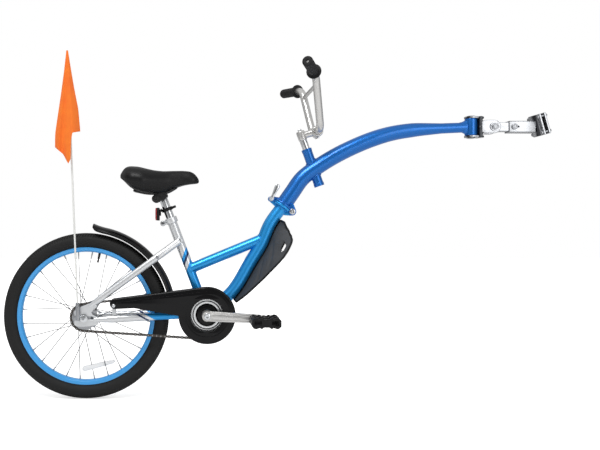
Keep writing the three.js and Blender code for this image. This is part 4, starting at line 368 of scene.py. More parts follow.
def bentPath(points, bend, steps=7):
    # straight runs with rounded corners
    route = [points[0]]
    for before, corner, after in zip(points, points[1:], points[2:]):
        into, out = corner - before, after - corner
        reach = min(bend, into.length / 2, out.length / 2)
        a, b = corner - into.normalized() * reach, corner + out.normalized() * reach
        route += [mixed(mixed(a, corner, k / steps), mixed(corner, b, k / steps), k / steps)
                  for k in range(steps + 1)]
    return [*route, points[-1]]


def tube(path, radius, side=across, breadth=1, ring=24, loop=False):
    # radius may change along the path; breadth is the width along side over the height
    rings, last = [], len(path) - 1
    for i, place in enumerate(path):
        before, after = (path[i - 1], path[(i + 1) % len(path)]) if loop else (path[max(0, i - 1)],
                                                                               path[min(last, i + 1)])
        tangent = (after - before).normalized()
        wide = (side - tangent * side.dot(tangent)).normalized()
        high = tangent.cross(wide)
        size = radius(i / last) if callable(radius) else radius
        turns = [2 * math.pi * k / ring for k in range(ring)]
        rings.append([place + wide * math.cos(t) * size * breadth + high * math.sin(t) * size for t in turns])
    return skin(rings, loop)


def softened(outline, reach, steps=3, loop=True):
    # the outline with its sharp corners rounded
    made, count = [], len(outline)
    for i, corner in enumerate(outline):
        corner, before, after = Vector(corner), Vector(outline[i - 1]), Vector(outline[(i + 1) % count])
        into, out = corner - before, after - corner
        if (not loop and i in (0,
                               count - 1)) or into.length < 1e-6 or out.length < 1e-6 or into.angle(out) < 0.3:
            made.append(corner)
            continue
        cut = min(reach, 0.45 * into.length, 0.45 * out.length)
        a, b = corner - into.normalized() * cut, corner + out.normalized() * cut
        made += [mixed(mixed(a, corner, k / steps), mixed(corner, b, k / steps), k / steps)
                 for k in range(steps + 1)]
    return made


def turned(profile, point, axis=across, segments=64, soft=0.8):
    # an outline of (radius, place along the axis) turned about the axis
    axis = axis.normalized()
    wide = axis.orthogonal().normalized() if abs(axis.y) < 0.99 else forward.copy()
    high = axis.cross(wide)
    outline = softened(profile, soft) if soft else [Vector(p) for p in profile]
    rings = []
    for k in range(segments):
        turn = 2 * math.pi * k / segments
        out = wide * math.cos(turn) + high * math.sin(turn)
        rings.append([point + axis * along + out * max(radius, 0.001) for radius, along in outline])
    return skin(rings, loop=True)


def bar(start, end, radius, endRadius=None, segments=32, soft=0.6):
    length = (end - start).length
    endRadius = radius if endRadius is None else endRadius
    return turned([(0, 0), (radius, 0), (endRadius, length), (0, length)], start, end - start, segments, soft)


def crossBar(point, y0, y1, radius, segments=32, soft=0.6):
    return bar(sideways(point, min(y0, y1)), sideways(point, max(y0, y1)), radius, None, segments, soft)


def pipe(start, end, inner, outer, segments=48, soft=0.8):
    length = (end - start).length
    return turned([(inner, 0), (outer, 0), (outer, length), (inner, length)], start, end - start, segments,
                  soft)


def plate(outline, thickness, origin=Vector(), u=forward, v=up, bevel=0.8, holes=()):
    # a flat outline with rounded edges, centred on its plane through the origin
    data = bpy.data.curves.new("outline", "CURVE")
    data.dimensions, data.fill_mode = "2D", "BOTH"
    bevel = min(bevel, thickness * 0.49)
    data.extrude, data.bevel_depth, data.bevel_resolution, data.offset = thickness / 2 - bevel, bevel, 2, -bevel
    for loop in (outline, *holes):
        spline = data.splines.new("POLY")
        spline.points.add(len(loop) - 1)
        spline.use_cyclic_u = True
        for spot, place in zip(spline.points, loop):
            spot.co = (place[0], place[-1], 0, 1)
    shaper = bpy.data.objects.new("outline", data)
    bpy.context.scene.collection.objects.link(shaper)
    flat = shaper.evaluated_get(bpy.context.evaluated_depsgraph_get())
    mesh = flat.to_mesh()
    w = u.cross(v)
    points = [origin + u * p.co.x + v * p.co.y + w * p.co.z for p in mesh.vertices]
    faces = [tuple(face.vertices) for face in mesh.polygons]
    flat.to_mesh_clear()
    bpy.data.objects.remove(shaper)
    bpy.data.curves.remove(data)
    return points, faces


def sidePlate(outline, y0, y1, bevel=0.8, holes=()):
    return plate(outline, abs(y1 - y0), Vector((0, (y0 + y1) / 2, 0)), bevel=bevel, holes=holes)


def circle(point, radius, count=40):
    return [(point[0] + radius * math.cos(2 * math.pi * k / count),
             point[-1] + radius * math.sin(2 * math.pi * k / count)) for k in range(count)]


def linkOutline(a, radiusA, b, radiusB, steps=14):
    # round two circles, joined by their outer tangents
    way = math.atan2(b[-1] - a[-1], b[0] - a[0])
    spread = math.acos((radiusA - radiusB) / math.hypot(b[-1] - a[-1], b[0] - a[0]))
    made = []
    for center, radius, start, end in ((a, radiusA, way + spread, way - spread + 2 * math.pi),
                                       (b, radiusB, way - spread, way + spread)):
        for k in range(steps + 1):
            turn = mixed(start, end, k / steps)
            made.append((center[0] + radius * math.cos(turn), center[-1] + radius * math.sin(turn)))
    return made


def rectangle(wide, high, corner):
    x, z = wide / 2, high / 2
    return softened([(-x, -z), (x, -z), (x, z), (-x, z)], corner, 4)


def block(center, x, y, z, bevel=1):
    return plate(rectangle(x, z, bevel * 2), y, center, bevel=bevel)


def hexNut(face, direction, acrossCorners, height):
    direction = direction.normalized()
    u = direction.orthogonal().normalized()
    return plate(circle((0, 0), acrossCorners, 6), height, face + direction * height / 2, u, direction.cross(u),
                 bevel=0.7)


def bored(shape, start, end, radius):
    # the shape with a round hole through it
    made = []
    for points, faces in (shape, bar(start, end, radius, None, 64, 0)):
        mesh = bpy.data.meshes.new("bore")
        mesh.from_pydata([tuple(p) for p in points], [], faces)
        made.append(bpy.data.objects.new("bore", mesh))
        bpy.context.scene.collection.objects.link(made[-1])
    work, drill = made
    cutter = work.modifiers.new("bore", "BOOLEAN")
    cutter.operation, cutter.solver, cutter.object = "DIFFERENCE", "EXACT", drill
    cutMesh = work.evaluated_get(bpy.context.evaluated_depsgraph_get()).to_mesh()
    points = [p.co.copy() for p in cutMesh.vertices]
    line = (end - start).normalized()
    # what is left of the wall inside the hole goes too
    inside = lambda spot: (spot - start - line * (spot - start).dot(line)).length < radius * 0.997
    faces = [tuple(face.vertices) for face in cutMesh.polygons]
    faces = [face for face in faces if not inside(sum((points[i] for i in face), Vector()) / len(face))]
    work.evaluated_get(bpy.context.evaluated_depsgraph_get()).to_mesh_clear()
    for item in made:
        mesh = item.data
        bpy.data.objects.remove(item)
        bpy.data.meshes.remove(mesh)
    return points, faces


def weldBead(start, way, radius, base, baseWay, baseRadius, size=2.0):
    # the line where one round tube meets another, with a rippled bead on it
    way, baseWay = way.normalized(), baseWay.normalized()
    u = way.cross(baseWay).normalized()
    v = way.cross(u)
    flatWay = way - baseWay * way.dot(baseWay)
    places, count = [], 120
    for k in range(count):
        turn = 2 * math.pi * k / count
        spot = start + (u * math.cos(turn) + v * math.sin(turn)) * radius
        flat = spot - base - baseWay * (spot - base).dot(baseWay)
        a, b, c = flatWay.length_squared, flat.dot(flatWay), flat.length_squared - baseRadius**2
        reach = (-b - math.sqrt(max(0, b * b - a * c))) / a
        places.append(spot + way * reach)
    ripple = lambda share: size * (1 + 0.12 * math.sin(share * 2 * math.pi * 30))
    return tube(places, ripple, side=way, ring=8, loop=True)


def makePiece(name, body, groups, nodes=(), smooth=32):
    # groups: (material, shapes) pairs
    mesh = bpy.data.meshes.new(name)
    points, faces, kinds = [], [], []
    for index, (material, shapes) in enumerate(groups):
        mesh.materials.append(material)
        for shapePoints, shapeFaces in shapes:
            start = len(points)
            points += [p * mm for p in shapePoints]
            faces += [tuple(i + start for i in face) for face in shapeFaces]
            kinds += [index] * len(shapeFaces)
    mesh.from_pydata(points, [], faces)
    mesh.polygons.foreach_set("material_index", kinds)
    work = bmesh.new()
    work.from_mesh(mesh)
    bmesh.ops.remove_doubles(work, verts=work.verts, dist=2e-6)
    bmesh.ops.dissolve_degenerate(work, edges=work.edges, dist=1e-6)
    bmesh.ops.recalc_face_normals(work, faces=work.faces)
    work.to_mesh(mesh)
    work.free()
    mesh.shade_smooth()
    mesh.set_sharp_from_angle(angle=math.radians(smooth))
    piece = bpy.data.objects.new(name, mesh)
    bpy.context.scene.collection.objects.link(piece)
    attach(piece, body)
    if nodes:
        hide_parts(*nodes)
    return piece


print("helpers ready")


# wheel: tyre, rim, hub with its spokes, reflector and axle
# blocks, centreGroove and sideRibs are in degrees from the top of the tread
tyreLook = {"ribs": 190, "grooveDepth": 1.8, "slant": 0.02, "radius": 252, "centre": 229.13, "high": 22.87,
            "half": 23.5, "seat": 203.3, "bead": 11.7, "blocks": (20, 64), "fade": 8, "centreGroove": (12, 17),
            "sideRibs": ((96, 99), (128, 131)), "ribHigh": 0.5}


def makeTyre():
    look = tyreLook
    start = -math.acos(look["bead"] / look["half"])
    steps, columns = 46, look["ribs"] * 4
    rings = []
    for column in range(columns):
        raised = column % 4 < 2
        ring = []
        for k in range(steps + 1):
            turn = mixed(start, math.pi - start, k / steps)
            fromTop = abs(math.degrees(turn) - 90)
            depth = 0
            if look["blocks"][0] < fromTop < look["blocks"][1] and not raised:
                depth = look["grooveDepth"] * min(1, (look["blocks"][1] - fromTop) / look["fade"])
            if look["centreGroove"][0] < fromTop < look["centreGroove"][1]:
                depth = look["grooveDepth"]
            if any(a < fromTop < b for a, b in look["sideRibs"]):
                depth = -look["ribHigh"]
            radius = look["centre"] + (look["high"] - depth) * math.sin(turn)
            along = 2 * math.pi * (column + 0.5 * (column % 2)) / columns + look["slant"] * fromTop / 40
            spot = axlePoint + heading(along) * radius
            ring.append(sideways(spot, (look["half"] - max(depth, -0.4)) * math.cos(turn)))
        along = 2 * math.pi * column / columns + look["slant"] * 150 / 40
        ring += [sideways(axlePoint + heading(along) * look["seat"], y)
                 for y in (-look["bead"] + 0.3, look["bead"] - 0.3)]
        rings.append(ring)
    makePiece("tyre", "wheel", [(tyreRubber, [skin(rings, loop=True)])], ["tyre"], 50)


rimLook = {"inner": 195, "spokes": 28, "crossings": 2, "valveAngle": math.radians(78)}


def makeRim():
    look = rimLook
    band = turned([(195, -7.5), (194.6, 0), (195, 7.5), (199, 12.6), (206.5, 13.3), (209, 13.5), (209, 12),
                   (203, 12), (203, -12), (209, -12), (209, -13.5), (206.5, -13.3), (199, -12.6)], axlePoint,
                  segments=180, soft=1.2,)
    outward = heading(look["valveAngle"])
    root = axlePoint + outward * (look["inner"] - 30)
    valve = turned([(0, 0), (2.6, 0), (2.9, 1.2), (2.9, 8), (2.3, 8.6), (2.3, 11), (3.1, 12.5), (3.6, 22),
                    (4, 30.5), (0, 30.5)], root, outward, 24, 0.4)
    makePiece("rim", "wheel", [(rimCoat, [band]), (gripRubber, [valve])], ["rim"])


def spokeEnds(i):
    look = rimLook
    step = 2 * math.pi / look["spokes"]
    side, lean = (1, -1)[i % 2 == 0], (1, -1)[i % 4 >= 2]
    rimAngle = look["valveAngle"] + step / 2 + i * step
    hubAngle = rimAngle + lean * look["crossings"] * 2 * step
    head = side * (29 + lean * 1.67)
    root = sideways(axlePoint + heading(hubAngle) * 25, head)
    return root, sideways(axlePoint + heading(rimAngle) * 194.4, side * 2), side, lean


def makeHub():
    shell = turned([(5.3, -34), (12, -34), (12, -31), (13.5, -30.6), (29, -30.5), (29, -27.5), (21, -26.5),
                    (16.5, -22), (15, -14), (15, 14), (16.5, 22), (21, 26.5), (29, 27.5), (29, 30.5),
                    (13.5, 30.6), (12, 31), (12, 34), (5.3, 34)], axlePoint, segments=96, soft=0.9,)
    wires, nipples = [], []
    for i in range(rimLook["spokes"]):
        root, tip, side, lean = spokeEnds(i)
        way = (tip - root).normalized()
        elbow = root - across * side * lean * 3.2
        wires.append(tube(bentPath([elbow, root, tip], 1.6, 4), 1.0,
                          side=across if abs(way.y) < 0.9 else forward, ring=10))
        wires.append(bar(elbow + across * side * lean * 0.4, elbow - across * side * lean * 0.9, 1.9, 1.4, 16,
                         0.4))
        nipples.append(bar(tip - way * 12, tip, 1.8, 2.0, 14, 0.4))
    makePiece("hubAndSpokes", "wheel",
              [(forgedAlloy, [shell]), (dullZinc, wires), (zincSteel, nipples)], ["hub_and_spokes"])


def makeSpokeReflector():
    middle = axlePoint + heading(math.radians(-76)) * 156
    run = heading(math.radians(14))
    a, b = middle - run * 44, middle + run * 45
    lens = sidePlate(linkOutline(a, 8, b, 5.6), -4.3, 4.3, 1.2)
    ridge = sidePlate(linkOutline(a, 5.4, b, 3.4), -4.5, 4.5, 0.5)
    makePiece("spokeReflector", "wheel", [(clearAcrylic, [lens, ridge])], ["spoke_reflector"])


def thread(start, way, radius, length, pitch=1.2):
    rows = max(2, int(length / pitch * 2))
    profile = [(0, 0)] + [(radius - (0.4 if k % 2 else 0), length * k / rows)
                          for k in range(rows + 1)] + [(0, length)]
    return turned(profile, start, way, 24, 0)


def makeAxle():
    outer = {-1: 64.6, 1: 62.3}
    shapes = [crossBar(axlePoint, -62, 60, 4.9)]
    nuts = []
    for side, face in outer.items():
        seat = sideways(axlePoint, side * (face + gap))
        nuts.append(turned([(5, 0), (12.2, 0), (12.2, 1.4), (5, 1.4)], seat, across * side, 40, 0.4))
        nuts.append(hexNut(seat + across * side * 1.4, across * side, 9.4, 6.6))
        shapes.append(thread(seat + across * side * 6, across * side, 4.9, 5))
    makePiece("axleWithNuts", "frame", [(zincSteel, shapes), (chromePlate, nuts)], ["axle_with_nuts"])


def makeTensioner(name, side):
    inner, outer = side * 60.3, side * 62.3
    end = Vector((axlePoint.x - 28.3, 0, axlePoint.z))
    strap = sidePlate(linkOutline(axlePoint, 11, end, 6), inner, outer, 0.5, [circle(axlePoint, 5.3)])
    cap = block(Vector((end.x - 1.3, side * 58.65, end.z)), 2.4, 7.2, 26, 0.6)
    screw = thread(sideways(end, side * 60.3) - forward * 2, -forward, 2.4, 6)
    nut = hexNut(sideways(end, side * 60.3) - forward * 2.4, -forward, 4.6, 3)
    makePiece(name, "frame", [(zincSteel, [strap, cap, nut]), (chainSteel, [screw])], [name])


makeTyre()
makeRim()
makeHub()
makeSpokeReflector()
makeAxle()
makeTensioner("chain_tensioner_right", -1)
makeTensioner("chain_tensioner_left", 1)
print("wheel made")


# chain drive: chainring, cog, chain, cranks and pedals
drive = {"pitch": 12.7, "links": 86, "ringTeeth": 36, "cogTeeth": 20, "line": -45, "roller": 3.9,
         "plateHigh": 4.0, "waist": 2.7}
stay = bracketPoint - axlePoint
stayTilt = math.atan2(stay.z, stay.x)


def pitchRadius(teeth):
    return drive["pitch"] / (2 * math.sin(math.pi / teeth))


ringRadius, cogRadius = pitchRadius(drive["ringTeeth"]), pitchRadius(drive["cogTeeth"])


def sprocketOutline(center, teeth, seatAngle):
    # round seats for the rollers with narrow tips between them
    radius, seat = pitchRadius(teeth), drive["roller"] - 0.1
    points = []
    for i in range(teeth):
        angle = seatAngle + 2 * math.pi * i / teeth
        hollow = center + heading(angle) * radius
        for k in range(7):
            turn = angle + math.pi + mixed(1.15, -1.15, k / 6)
            spot = hollow + heading(turn) * seat
            points.append((spot.x, spot.z))
        tip = seatAngle + 2 * math.pi * (i + 0.5) / teeth
        for way in (-1, 1):
            spot = center + heading(tip) * (radius + 3.2) + heading(tip + math.pi / 2) * way * 0.9
            points.append((spot.x, spot.z))
    return points


def makeChainring():
    line = drive["line"]
    teeth = sidePlate(sprocketOutline(bracketPoint, drive["ringTeeth"], stayTilt), line - 1.3, line + 1.3, 0.5,
                      [circle(bracketPoint, 30)])
    ring = turned([(50, -line), (50, 47.4), (49, 49), (44, 49.3), (43, 48.6), (42.8, 46.6), (41.2, 46.6),
                   (41, 48.6), (40, 49.3), (34.6, 49.3), (33.6, 48.6), (33.4, 46.4), (30, 46.2), (30, -line)],
                  bracketPoint, -across, 120, 0.6)
    # painted shade: the black ring on the floor of the chrome ring's groove stands in for the shade in that
    # recess
    paintedGrooveShade = turned([(42.7, 46.7), (42.7, 47.3), (41.3, 47.3), (41.3, 46.7)], bracketPoint, -across, 96, 0)
    centre = turned([(16.6, 45.4), (33.3, 45.4), (33.3, 47.6), (30.5, 48.8), (29.8, 51.5), (16.6, 52.6)],
                    bracketPoint, -across, 96, 0.8)
    makePiece("chainring", "crank",
              [(satinChrome, [ring]), (zincSteel, [teeth]), (glossAbs, [centre, paintedGrooveShade])], ["chainring"])


def makeCog():
    line = drive["line"]
    teeth = sidePlate(sprocketOutline(axlePoint, drive["cogTeeth"], stayTilt + math.pi), line - 1.2, line + 1.2,
                      0.5, [circle(axlePoint, 15)])
    body = turned([(5.4, 34.4), (24.5, 34.4), (24.8, 42), (27, 43), (27, 47), (22, 48.5), (20.5, 53.6),
                   (17, 54.6), (5.4, 54.6)], axlePoint, -across, 80, 0.7)
    makePiece("rearCog", "cog", [(zincSteel, [teeth, body])], ["rear_cog"])


def chainPlaces():
    tilt = math.asin((ringRadius - cogRadius) / stay.length)
    wrap = math.pi / 2 + tilt
    onRing = drive["ringTeeth"] * wrap / (2 * math.pi)
    straight = stay.length * math.cos(tilt) / drive["pitch"]
    leave = bracketPoint + heading(stayTilt + wrap) * ringRadius
    meet = axlePoint + heading(stayTilt + wrap) * cogRadius
    half = drive["links"] / 2

    def upper(place):
        if place <= onRing:
            return bracketPoint + heading(stayTilt + place / onRing * wrap) * ringRadius
        if place <= onRing + straight:
            return mixed(leave, meet, (place - onRing) / straight)
        rest = (half - place) / (half - onRing - straight)
        return axlePoint + heading(stayTilt + math.pi - rest * (math.pi - wrap)) * cogRadius

    over = heading(stayTilt + math.pi / 2)
    places = []
    for i in range(drive["links"]):
        spot = upper(min(i, drive["links"] - i))
        places.append(spot if i <= half else spot - over * 2 * (spot - axlePoint).dot(over))
    return places


def linkPlate(a, b, y0, y1):
    way = (b - a).normalized()
    over = across.cross(way)
    corners, reach = [], drive["plateHigh"] - 0.1
    for center, outward, turn in ((a, -way, over), (b, way, -over)):
        for k in range(9):
            angle = mixed(-0.62 * math.pi, 0.62 * math.pi, k / 8)
            corners.append(center + outward * math.cos(angle) * reach - turn * math.sin(angle) * reach)
    middle = (a + b) / 2
    waist = [middle + over * drive["waist"], middle - over * drive["waist"]]
    first, last = corners[:9], corners[9:]
    side = 1 if (first[-1] - middle).dot(over) > 0 else -1
    ring = [*first, waist[0] if side > 0 else waist[1], *last, waist[1] if side > 0 else waist[0]]
    return sidePlate([(p.x, p.z) for p in ring], y0, y1, 0.25)


def makeChain():
    places = chainPlaces()
    plates, rollers = [], []
    line = drive["line"]
    for i, place in enumerate(places):
        after = places[(i + 1) % len(places)]
        inner, outer = (1.8, 2.6) if i % 2 == 0 else (2.75, 3.55)
        plates += [linkPlate(place, after, line + side * inner, line + side * outer) for side in (-1, 1)]
        rollers.append(crossBar(place, line - 1.7, line + 1.7, drive["roller"] - 0.4, 16, 0.3))
        rollers.append(crossBar(place, line - 3.9, line + 3.9, 1.8, 10, 0.3))
    makePiece("chain", "frame", [(chainSteel, plates), (zincSteel, rollers)], ["chain"])


crank = {"length": 165, "tilt": math.radians(-3), "inner": 74, "outer": 88}


def pedalPoint(side):
    return bracketPoint + heading(crank["tilt"] + (math.pi if side > 0 else 0)) * crank["length"]


def makeBracketAxle():
    rodShape = crossBar(bracketPoint, -89.8, 89.8, 8.5)
    bolts = []
    for side in (-1, 1):
        face = sideways(bracketPoint, side * 90.3)
        bolts.append(turned([(3.6, 2.2), (3.6, 5), (6.4, 5), (9.6, 3.6), (9.9, 0), (0, 0), (0, 2.2)], face,
                            across * side, 48, 0.5))
    makePiece("bracketAxle", "crank", [(zincSteel, [rodShape]), (chromePlate, bolts)],
              ["bracket_axle"])


def makeCrankArm(name, side):
    eye = pedalPoint(side)
    way = (eye - bracketPoint).normalized()
    inner, outer = side * crank["inner"], side * crank["outer"]
    arm = sidePlate(linkOutline(bracketPoint, 15.6, eye, 12.6), inner, outer - side * 2.2, 3,
                    [circle(eye, 6.3), circle(bracketPoint, 8.8)])
    ridge = sidePlate(linkOutline(bracketPoint + way * 18, 9, eye - way * 20, 6.2), outer - side * 5, outer,
                      1.8)
    start = 43 if side > 0 else 44
    boss = turned([(8.8, start), (15.6, start), (16, start + 6), (16, 84), (14.4, 90), (8.8, 90)], bracketPoint,
                  across * side, 64, 1)
    eyeBoss = turned([(6.3, 74), (12.8, 74), (13, 76), (13, 87), (12, 88), (6.3, 88)], eye, across * side, 48,
                     0.8)
    makePiece(name, "crank", [(forgedAlloy, [arm, ridge, boss, eyeBoss])], [name])


def makePedal(name, side):
    point = pedalPoint(side)
    spindle = turned([(0, 74), (6, 74), (6, 88.3), (8, 88.4), (8, 91.2), (5.8, 91.4), (5.8, 170), (0, 170.4)],
                     point, across * side, 32, 0.4)
    makePiece("pedal_spindle_" + name, "crank", [(zincSteel, [spindle])], ["pedal_spindle_" + name])
    inner, outer = 91.6, 179.6
    cage, teeth = [], []
    ring = []
    for sx, sz in ((1, 1), (1, -1), (-1, -1), (-1, 1)):
        corners = [(4, 11), (9, 12), (12, 15), (16, 15), (18, 12.8), (24, 13), (27, 15.6), (33, 15.6),
                   (36, 13.6), (41.5, 8.5), (41.5, 4)]
        corners = corners if sx * sz > 0 else corners[::-1]
        ring += [(point.x + sx * a, point.z + sz * b) for a, b in corners]
    windows = []
    for way in (-1, 1):
        windows.append(softened([(point.x + way * x, point.z + z)
                                 for x, z in ((14, -7), (34, -7.5), (36, 0), (34, 7.5), (14, 7))], 2.5))
    for start, holes in ((inner, ()), (inner + 40, ()), (outer - 9, windows)):
        cage.append(sidePlate(softened(ring, 1.2), side * start, side * (start + 9), 1, holes))
    for way in (-1, 1):
        rail = [(way * 33, -12.4), (way * 36, -12.6), (way * 41, -7.5), (way * 41.3, 7.5), (way * 36, 12.6),
                (way * 33, 12.4)]
        cage.append(sidePlate([(point.x + a, point.z + b) for a, b in rail], side * (inner + 8),
                              side * (outer - 8), 1))
        for k in range(9):
            place = inner + 13 + k * 7.7
            for rise in (-1, 1):
                spot = Vector((point.x + way * 34.8, side * place, point.z + rise * 12.9))
                teeth.append(block(spot, 3.6, 3.6, 5.6, 0.9))
        for reach in (15, 24, 33.5):
            for rise in (-1, 1):
                for place in (inner + 3.5, outer - 3.5):
                    teeth.append(block(Vector((point.x + way * reach, side * place, point.z + rise * 12.4)),
                                       4.4, 5, 3, 0.8))
    barrel = turned([(6.3, inner), (10, inner), (9, inner + 12), (8.6, inner + 44), (9, outer - 12),
                     (11.4, outer - 2), (11.4, outer - 0.6), (9.6, outer), (8.4, outer - 1.6), (0, outer - 1.2),
                     (0, outer - 8), (6.3, outer - 8)], point, across * side, 48, 0.5)
    for rise in (-1, 1):
        cage.append(block(Vector((point.x, side * (inner + outer) / 2, point.z + rise * 5.5)), 64, 10, 2.4,
                          0.8))
    makePiece("pedal_" + name, "pedal_" + name,
              [(grainPolypropylene, [*cage, *teeth, barrel])], ["pedal_" + name])


makeChainring()
makeCog()
makeChain()
makeBracketAxle()
for name, side in (("right", -1), ("left", 1)):
    makeCrankArm("crank_arm_" + name, side)
    makePedal(name, side)
print("chain drive made")


# frame with its guards
seatTop = bracketPoint + seatLine * 311
foldPoint = Vector((-783.5, 0, -246.5))
foldLine, foldAhead = heading(math.radians(54)), heading(math.radians(-36))


def shareRoute(start, end, shares, count=64):
    places = [Vector((mixed(start.x, end.x, x), 0, mixed(start.z, end.z, z))) for x, z in shares]
    return smoothPath(places, count)


downTube = shareRoute(bracketPoint, foldPoint,
                      [(0, 0), (0.334, 0.2015), (0.574, 0.479), (0.7195, 0.65), (0.8287, 0.8305), (1, 1)])
armRoute = shareRoute(foldPoint, yawPoint,
                      [(0, 0), (0.048, 0.165), (0.105, 0.353), (0.2045, 0.528), (0.3125, 0.678),
                       (0.4535, 0.829), (0.57, 0.9165), (0.685, 0.962), (0.8, 0.98), (1, 1)], 120)
armSizes = [(0, 24.5), (0.55, 23.5), (0.72, 21.6), (0.86, 15.7), (1, 15)]
topTubeRear = bracketPoint + seatLine * 144
topTubeFront = downTube[round(0.72 * 63)]


def foldAt(ahead, above):
    return foldPoint + foldAhead * ahead + foldLine * above


def foldFlange(way):
    return turned([(0, 0.2), (32.4, 0.2), (33, 1.2), (33, 5.4), (30.5, 8), (0, 8)], foldPoint, foldLine * way,
                  96, 1.2)


def knuckle(y0, y1, way):
    root = foldAt(19.5, way * 15)
    return sidePlate(linkOutline(pinPoint, 12, root, 6), y0, y1, 1.4)


foldSkewer = Vector((foldCam.x, 0, foldCam.z))


def foldEar(y0, y1, way):
    root = foldAt(-16.5, way * 8)
    return sidePlate(linkOutline(foldSkewer, 8, root, 8), y0, y1, 1.2)


def foldBead(radius, above, ripples):
    # the weld round a tube's end on its fold flange
    turns = [t / 30 * math.pi for t in range(60)]
    places = [foldAt(radius * math.cos(turn), above) + across * radius * math.sin(turn) for turn in turns]
    return tube(places, lambda share: 2.6 * (1 + 0.1 * math.sin(share * ripples)), side=foldLine, ring=8,
                loop=True)


def makeFrontFrame():
    shell = turned([(9, -34), (20, -34), (20, 34), (9, 34)], bracketPoint, segments=96, soft=1.5)
    cups = [turned([(9, 34.2), (21.8, 34.2), (22, 36.6), (20, 37), (9, 37)], bracketPoint, across * side, 16,
                   0.4) for side in (-1, 1)]
    seatTube = pipe(bracketPoint + seatLine * 12, seatTop, 12.9, 14.3, 64, 0.5)
    topTube = tube([topTubeRear, (topTubeRear + topTubeFront) / 2, topTubeFront], 15.9, ring=48)
    shownTube = [p for p in downTube if (p - foldPoint).dot(foldLine) < -4]
    lower = tube(shownTube, 19.05, ring=56)
    topWay = (topTubeRear - topTubeFront).normalized()
    downWay = (downTube[1] - downTube[0]).normalized()
    frontWay = (downTube[46] - downTube[44]).normalized()
    beads = [
        weldBead(topTubeFront, topWay, 15.9, topTubeRear, seatLine, 14.3),
        weldBead(topTubeRear, -topWay, 15.9, topTubeFront, frontWay, 19.05),
        weldBead(seatTop, -seatLine, 14.3, bracketPoint, across, 20, 2.4),
        weldBead(bracketPoint + downWay * 90, -downWay, 19.05, bracketPoint, across, 20, 2.4),
        foldBead(19.6, -9, 150),
    ]
    joint = [foldFlange(-1), knuckle(-9, 9, -1), foldEar(-6, -1.8, -1), foldEar(1.8, 6, -1)]
    makePiece("frontFrame", "frame",
              [(frameLacquer, [shell, seatTube, topTube, lower, *beads, *joint]), (zincSteel, cups)],
              ["front_frame"])


def leaving(start, end, radius):
    # where a line in the side view leaves a circle round the axle
    way = (end - start).normalized()
    back = start - axlePoint
    half = back.dot(way)
    return start + way * (math.sqrt(half**2 - back.length_squared + radius**2) - half)


chainStayRoot, seatStayRoot = axlePoint + Vector((44, 0, -5.5)), axlePoint + Vector((33, 0, 46))
seatStayTop = bracketPoint + seatLine * 235
bridgeReach = 282.3


def chainStay(side):
    root = chainStayRoot

    def place(x, y):
        share = (x - root.x) / (bracketPoint.x - root.x)
        return Vector((x, side * y, mixed(root.z, bracketPoint.z, share)))

    tyreFront = axlePoint.x + tyreLook["radius"]
    route = [place(root.x - 12, 57.8), place(root.x + 44, 53.5), place(tyreFront, 32.5),
             place(tyreFront + 36, 30), place(bracketPoint.x - 14, 21)]
    flatten = lambda share: 11 * (0.62 + 0.38 * min(1, share * 6))
    return tube(smoothPath(route, 56), flatten, breadth=0.73, ring=32)


def seatStay(side):
    root, top = seatStayRoot, seatStayTop
    knee = mixed(root, top, 0.74)
    foot = root - (knee - root).normalized() * 20
    path = [sideways(foot, side * 57.5), sideways(knee, side * 41), sideways(top, side * 19)]
    flatten = lambda share: 10.5 * (0.6 + 0.4 * min(1, share * 8))
    return tube(evenly(bentPath(path, 40, 10), 60), flatten, breadth=0.76, ring=32)


def makeRearFrame():
    behind = 28
    shares = [(-1, -0.75), (-0.6, -0.95), (0.3, -0.9), (1, -0.75), (1, 0.02), (0.45, 0.3), (0.95, 0.8),
              (0.55, 1), (-0.2, 0.75), (-1, 0.45)]
    outline = [(axlePoint.x + x * (behind if x < 0 else 44), axlePoint.z + z * (28 if z < 0 else 46))
               for x, z in shares]
    # the axle slot opens backwards and runs on ahead of the axle, for chain take-up
    slotEnd, slotHalf = axlePoint.x + 25, 5.6
    turns = [math.pi * k / 10 for k in range(11)]
    notch = [(slotEnd + slotHalf * math.sin(t), axlePoint.z + slotHalf * math.cos(t)) for t in turns]
    notch = [(axlePoint.x - behind, axlePoint.z + slotHalf), *notch,
             (axlePoint.x - behind, axlePoint.z - slotHalf)]
    outline = [*softened([Vector(p) for p in outline], 7, 4, loop=False), *[Vector(p) for p in notch[::-1]]]
    plates = [sidePlate(outline, side * 55.3, side * 60, 0.8) for side in (-1, 1)]
    bridge = leaving(seatStayRoot, seatStayTop, bridgeReach)
    lowerBridge = leaving(chainStayRoot, bracketPoint, bridgeReach)
    tabTop = axlePoint + heading(mudguardLook["screw"]) * 277.3
    tab = sidePlate(linkOutline(lowerBridge, 4, tabTop, 2), -12, 12, 0.8)
    screw = Vector((guardScrew.x, 0, guardScrew.z))
    guardTab = sidePlate(linkOutline(screw, 6, Vector((screw.x, 0, axlePoint.z)), 6), -51.7, -49.1, 0.5)
    beads = []
    for side in (-1, 1):
        top = sideways(seatStayTop, side * 19)
        turns = [t / 20 * math.pi for t in range(40)]
        seam = [top + heading(math.radians(200)) * 8 * math.cos(turn) - seatLine * 9 * math.sin(turn)
                for turn in turns]
        beads.append(tube(seam, 2.2, ring=8, loop=True))
    bolts = [turned([(0, 0), (5.4, 0), (5.4, 1.2), (4.2, 2.8), (0, 3.4)], sideways(bridge, side * 45.5),
                    across * side, 32, 0.5) for side in (-1, 1)]
    makePiece("rearFrame", "frame",
              [(stayLacquer, [chainStay(-1), chainStay(1), crossBar(lowerBridge, -22.5, 22.5, 7), tab]),
               (silverLacquer, [seatStay(-1), seatStay(1), *plates, crossBar(bridge, -39, 39, 7), guardTab,
                                *beads]), (zincSteel, bolts)], ["rear_frame"])


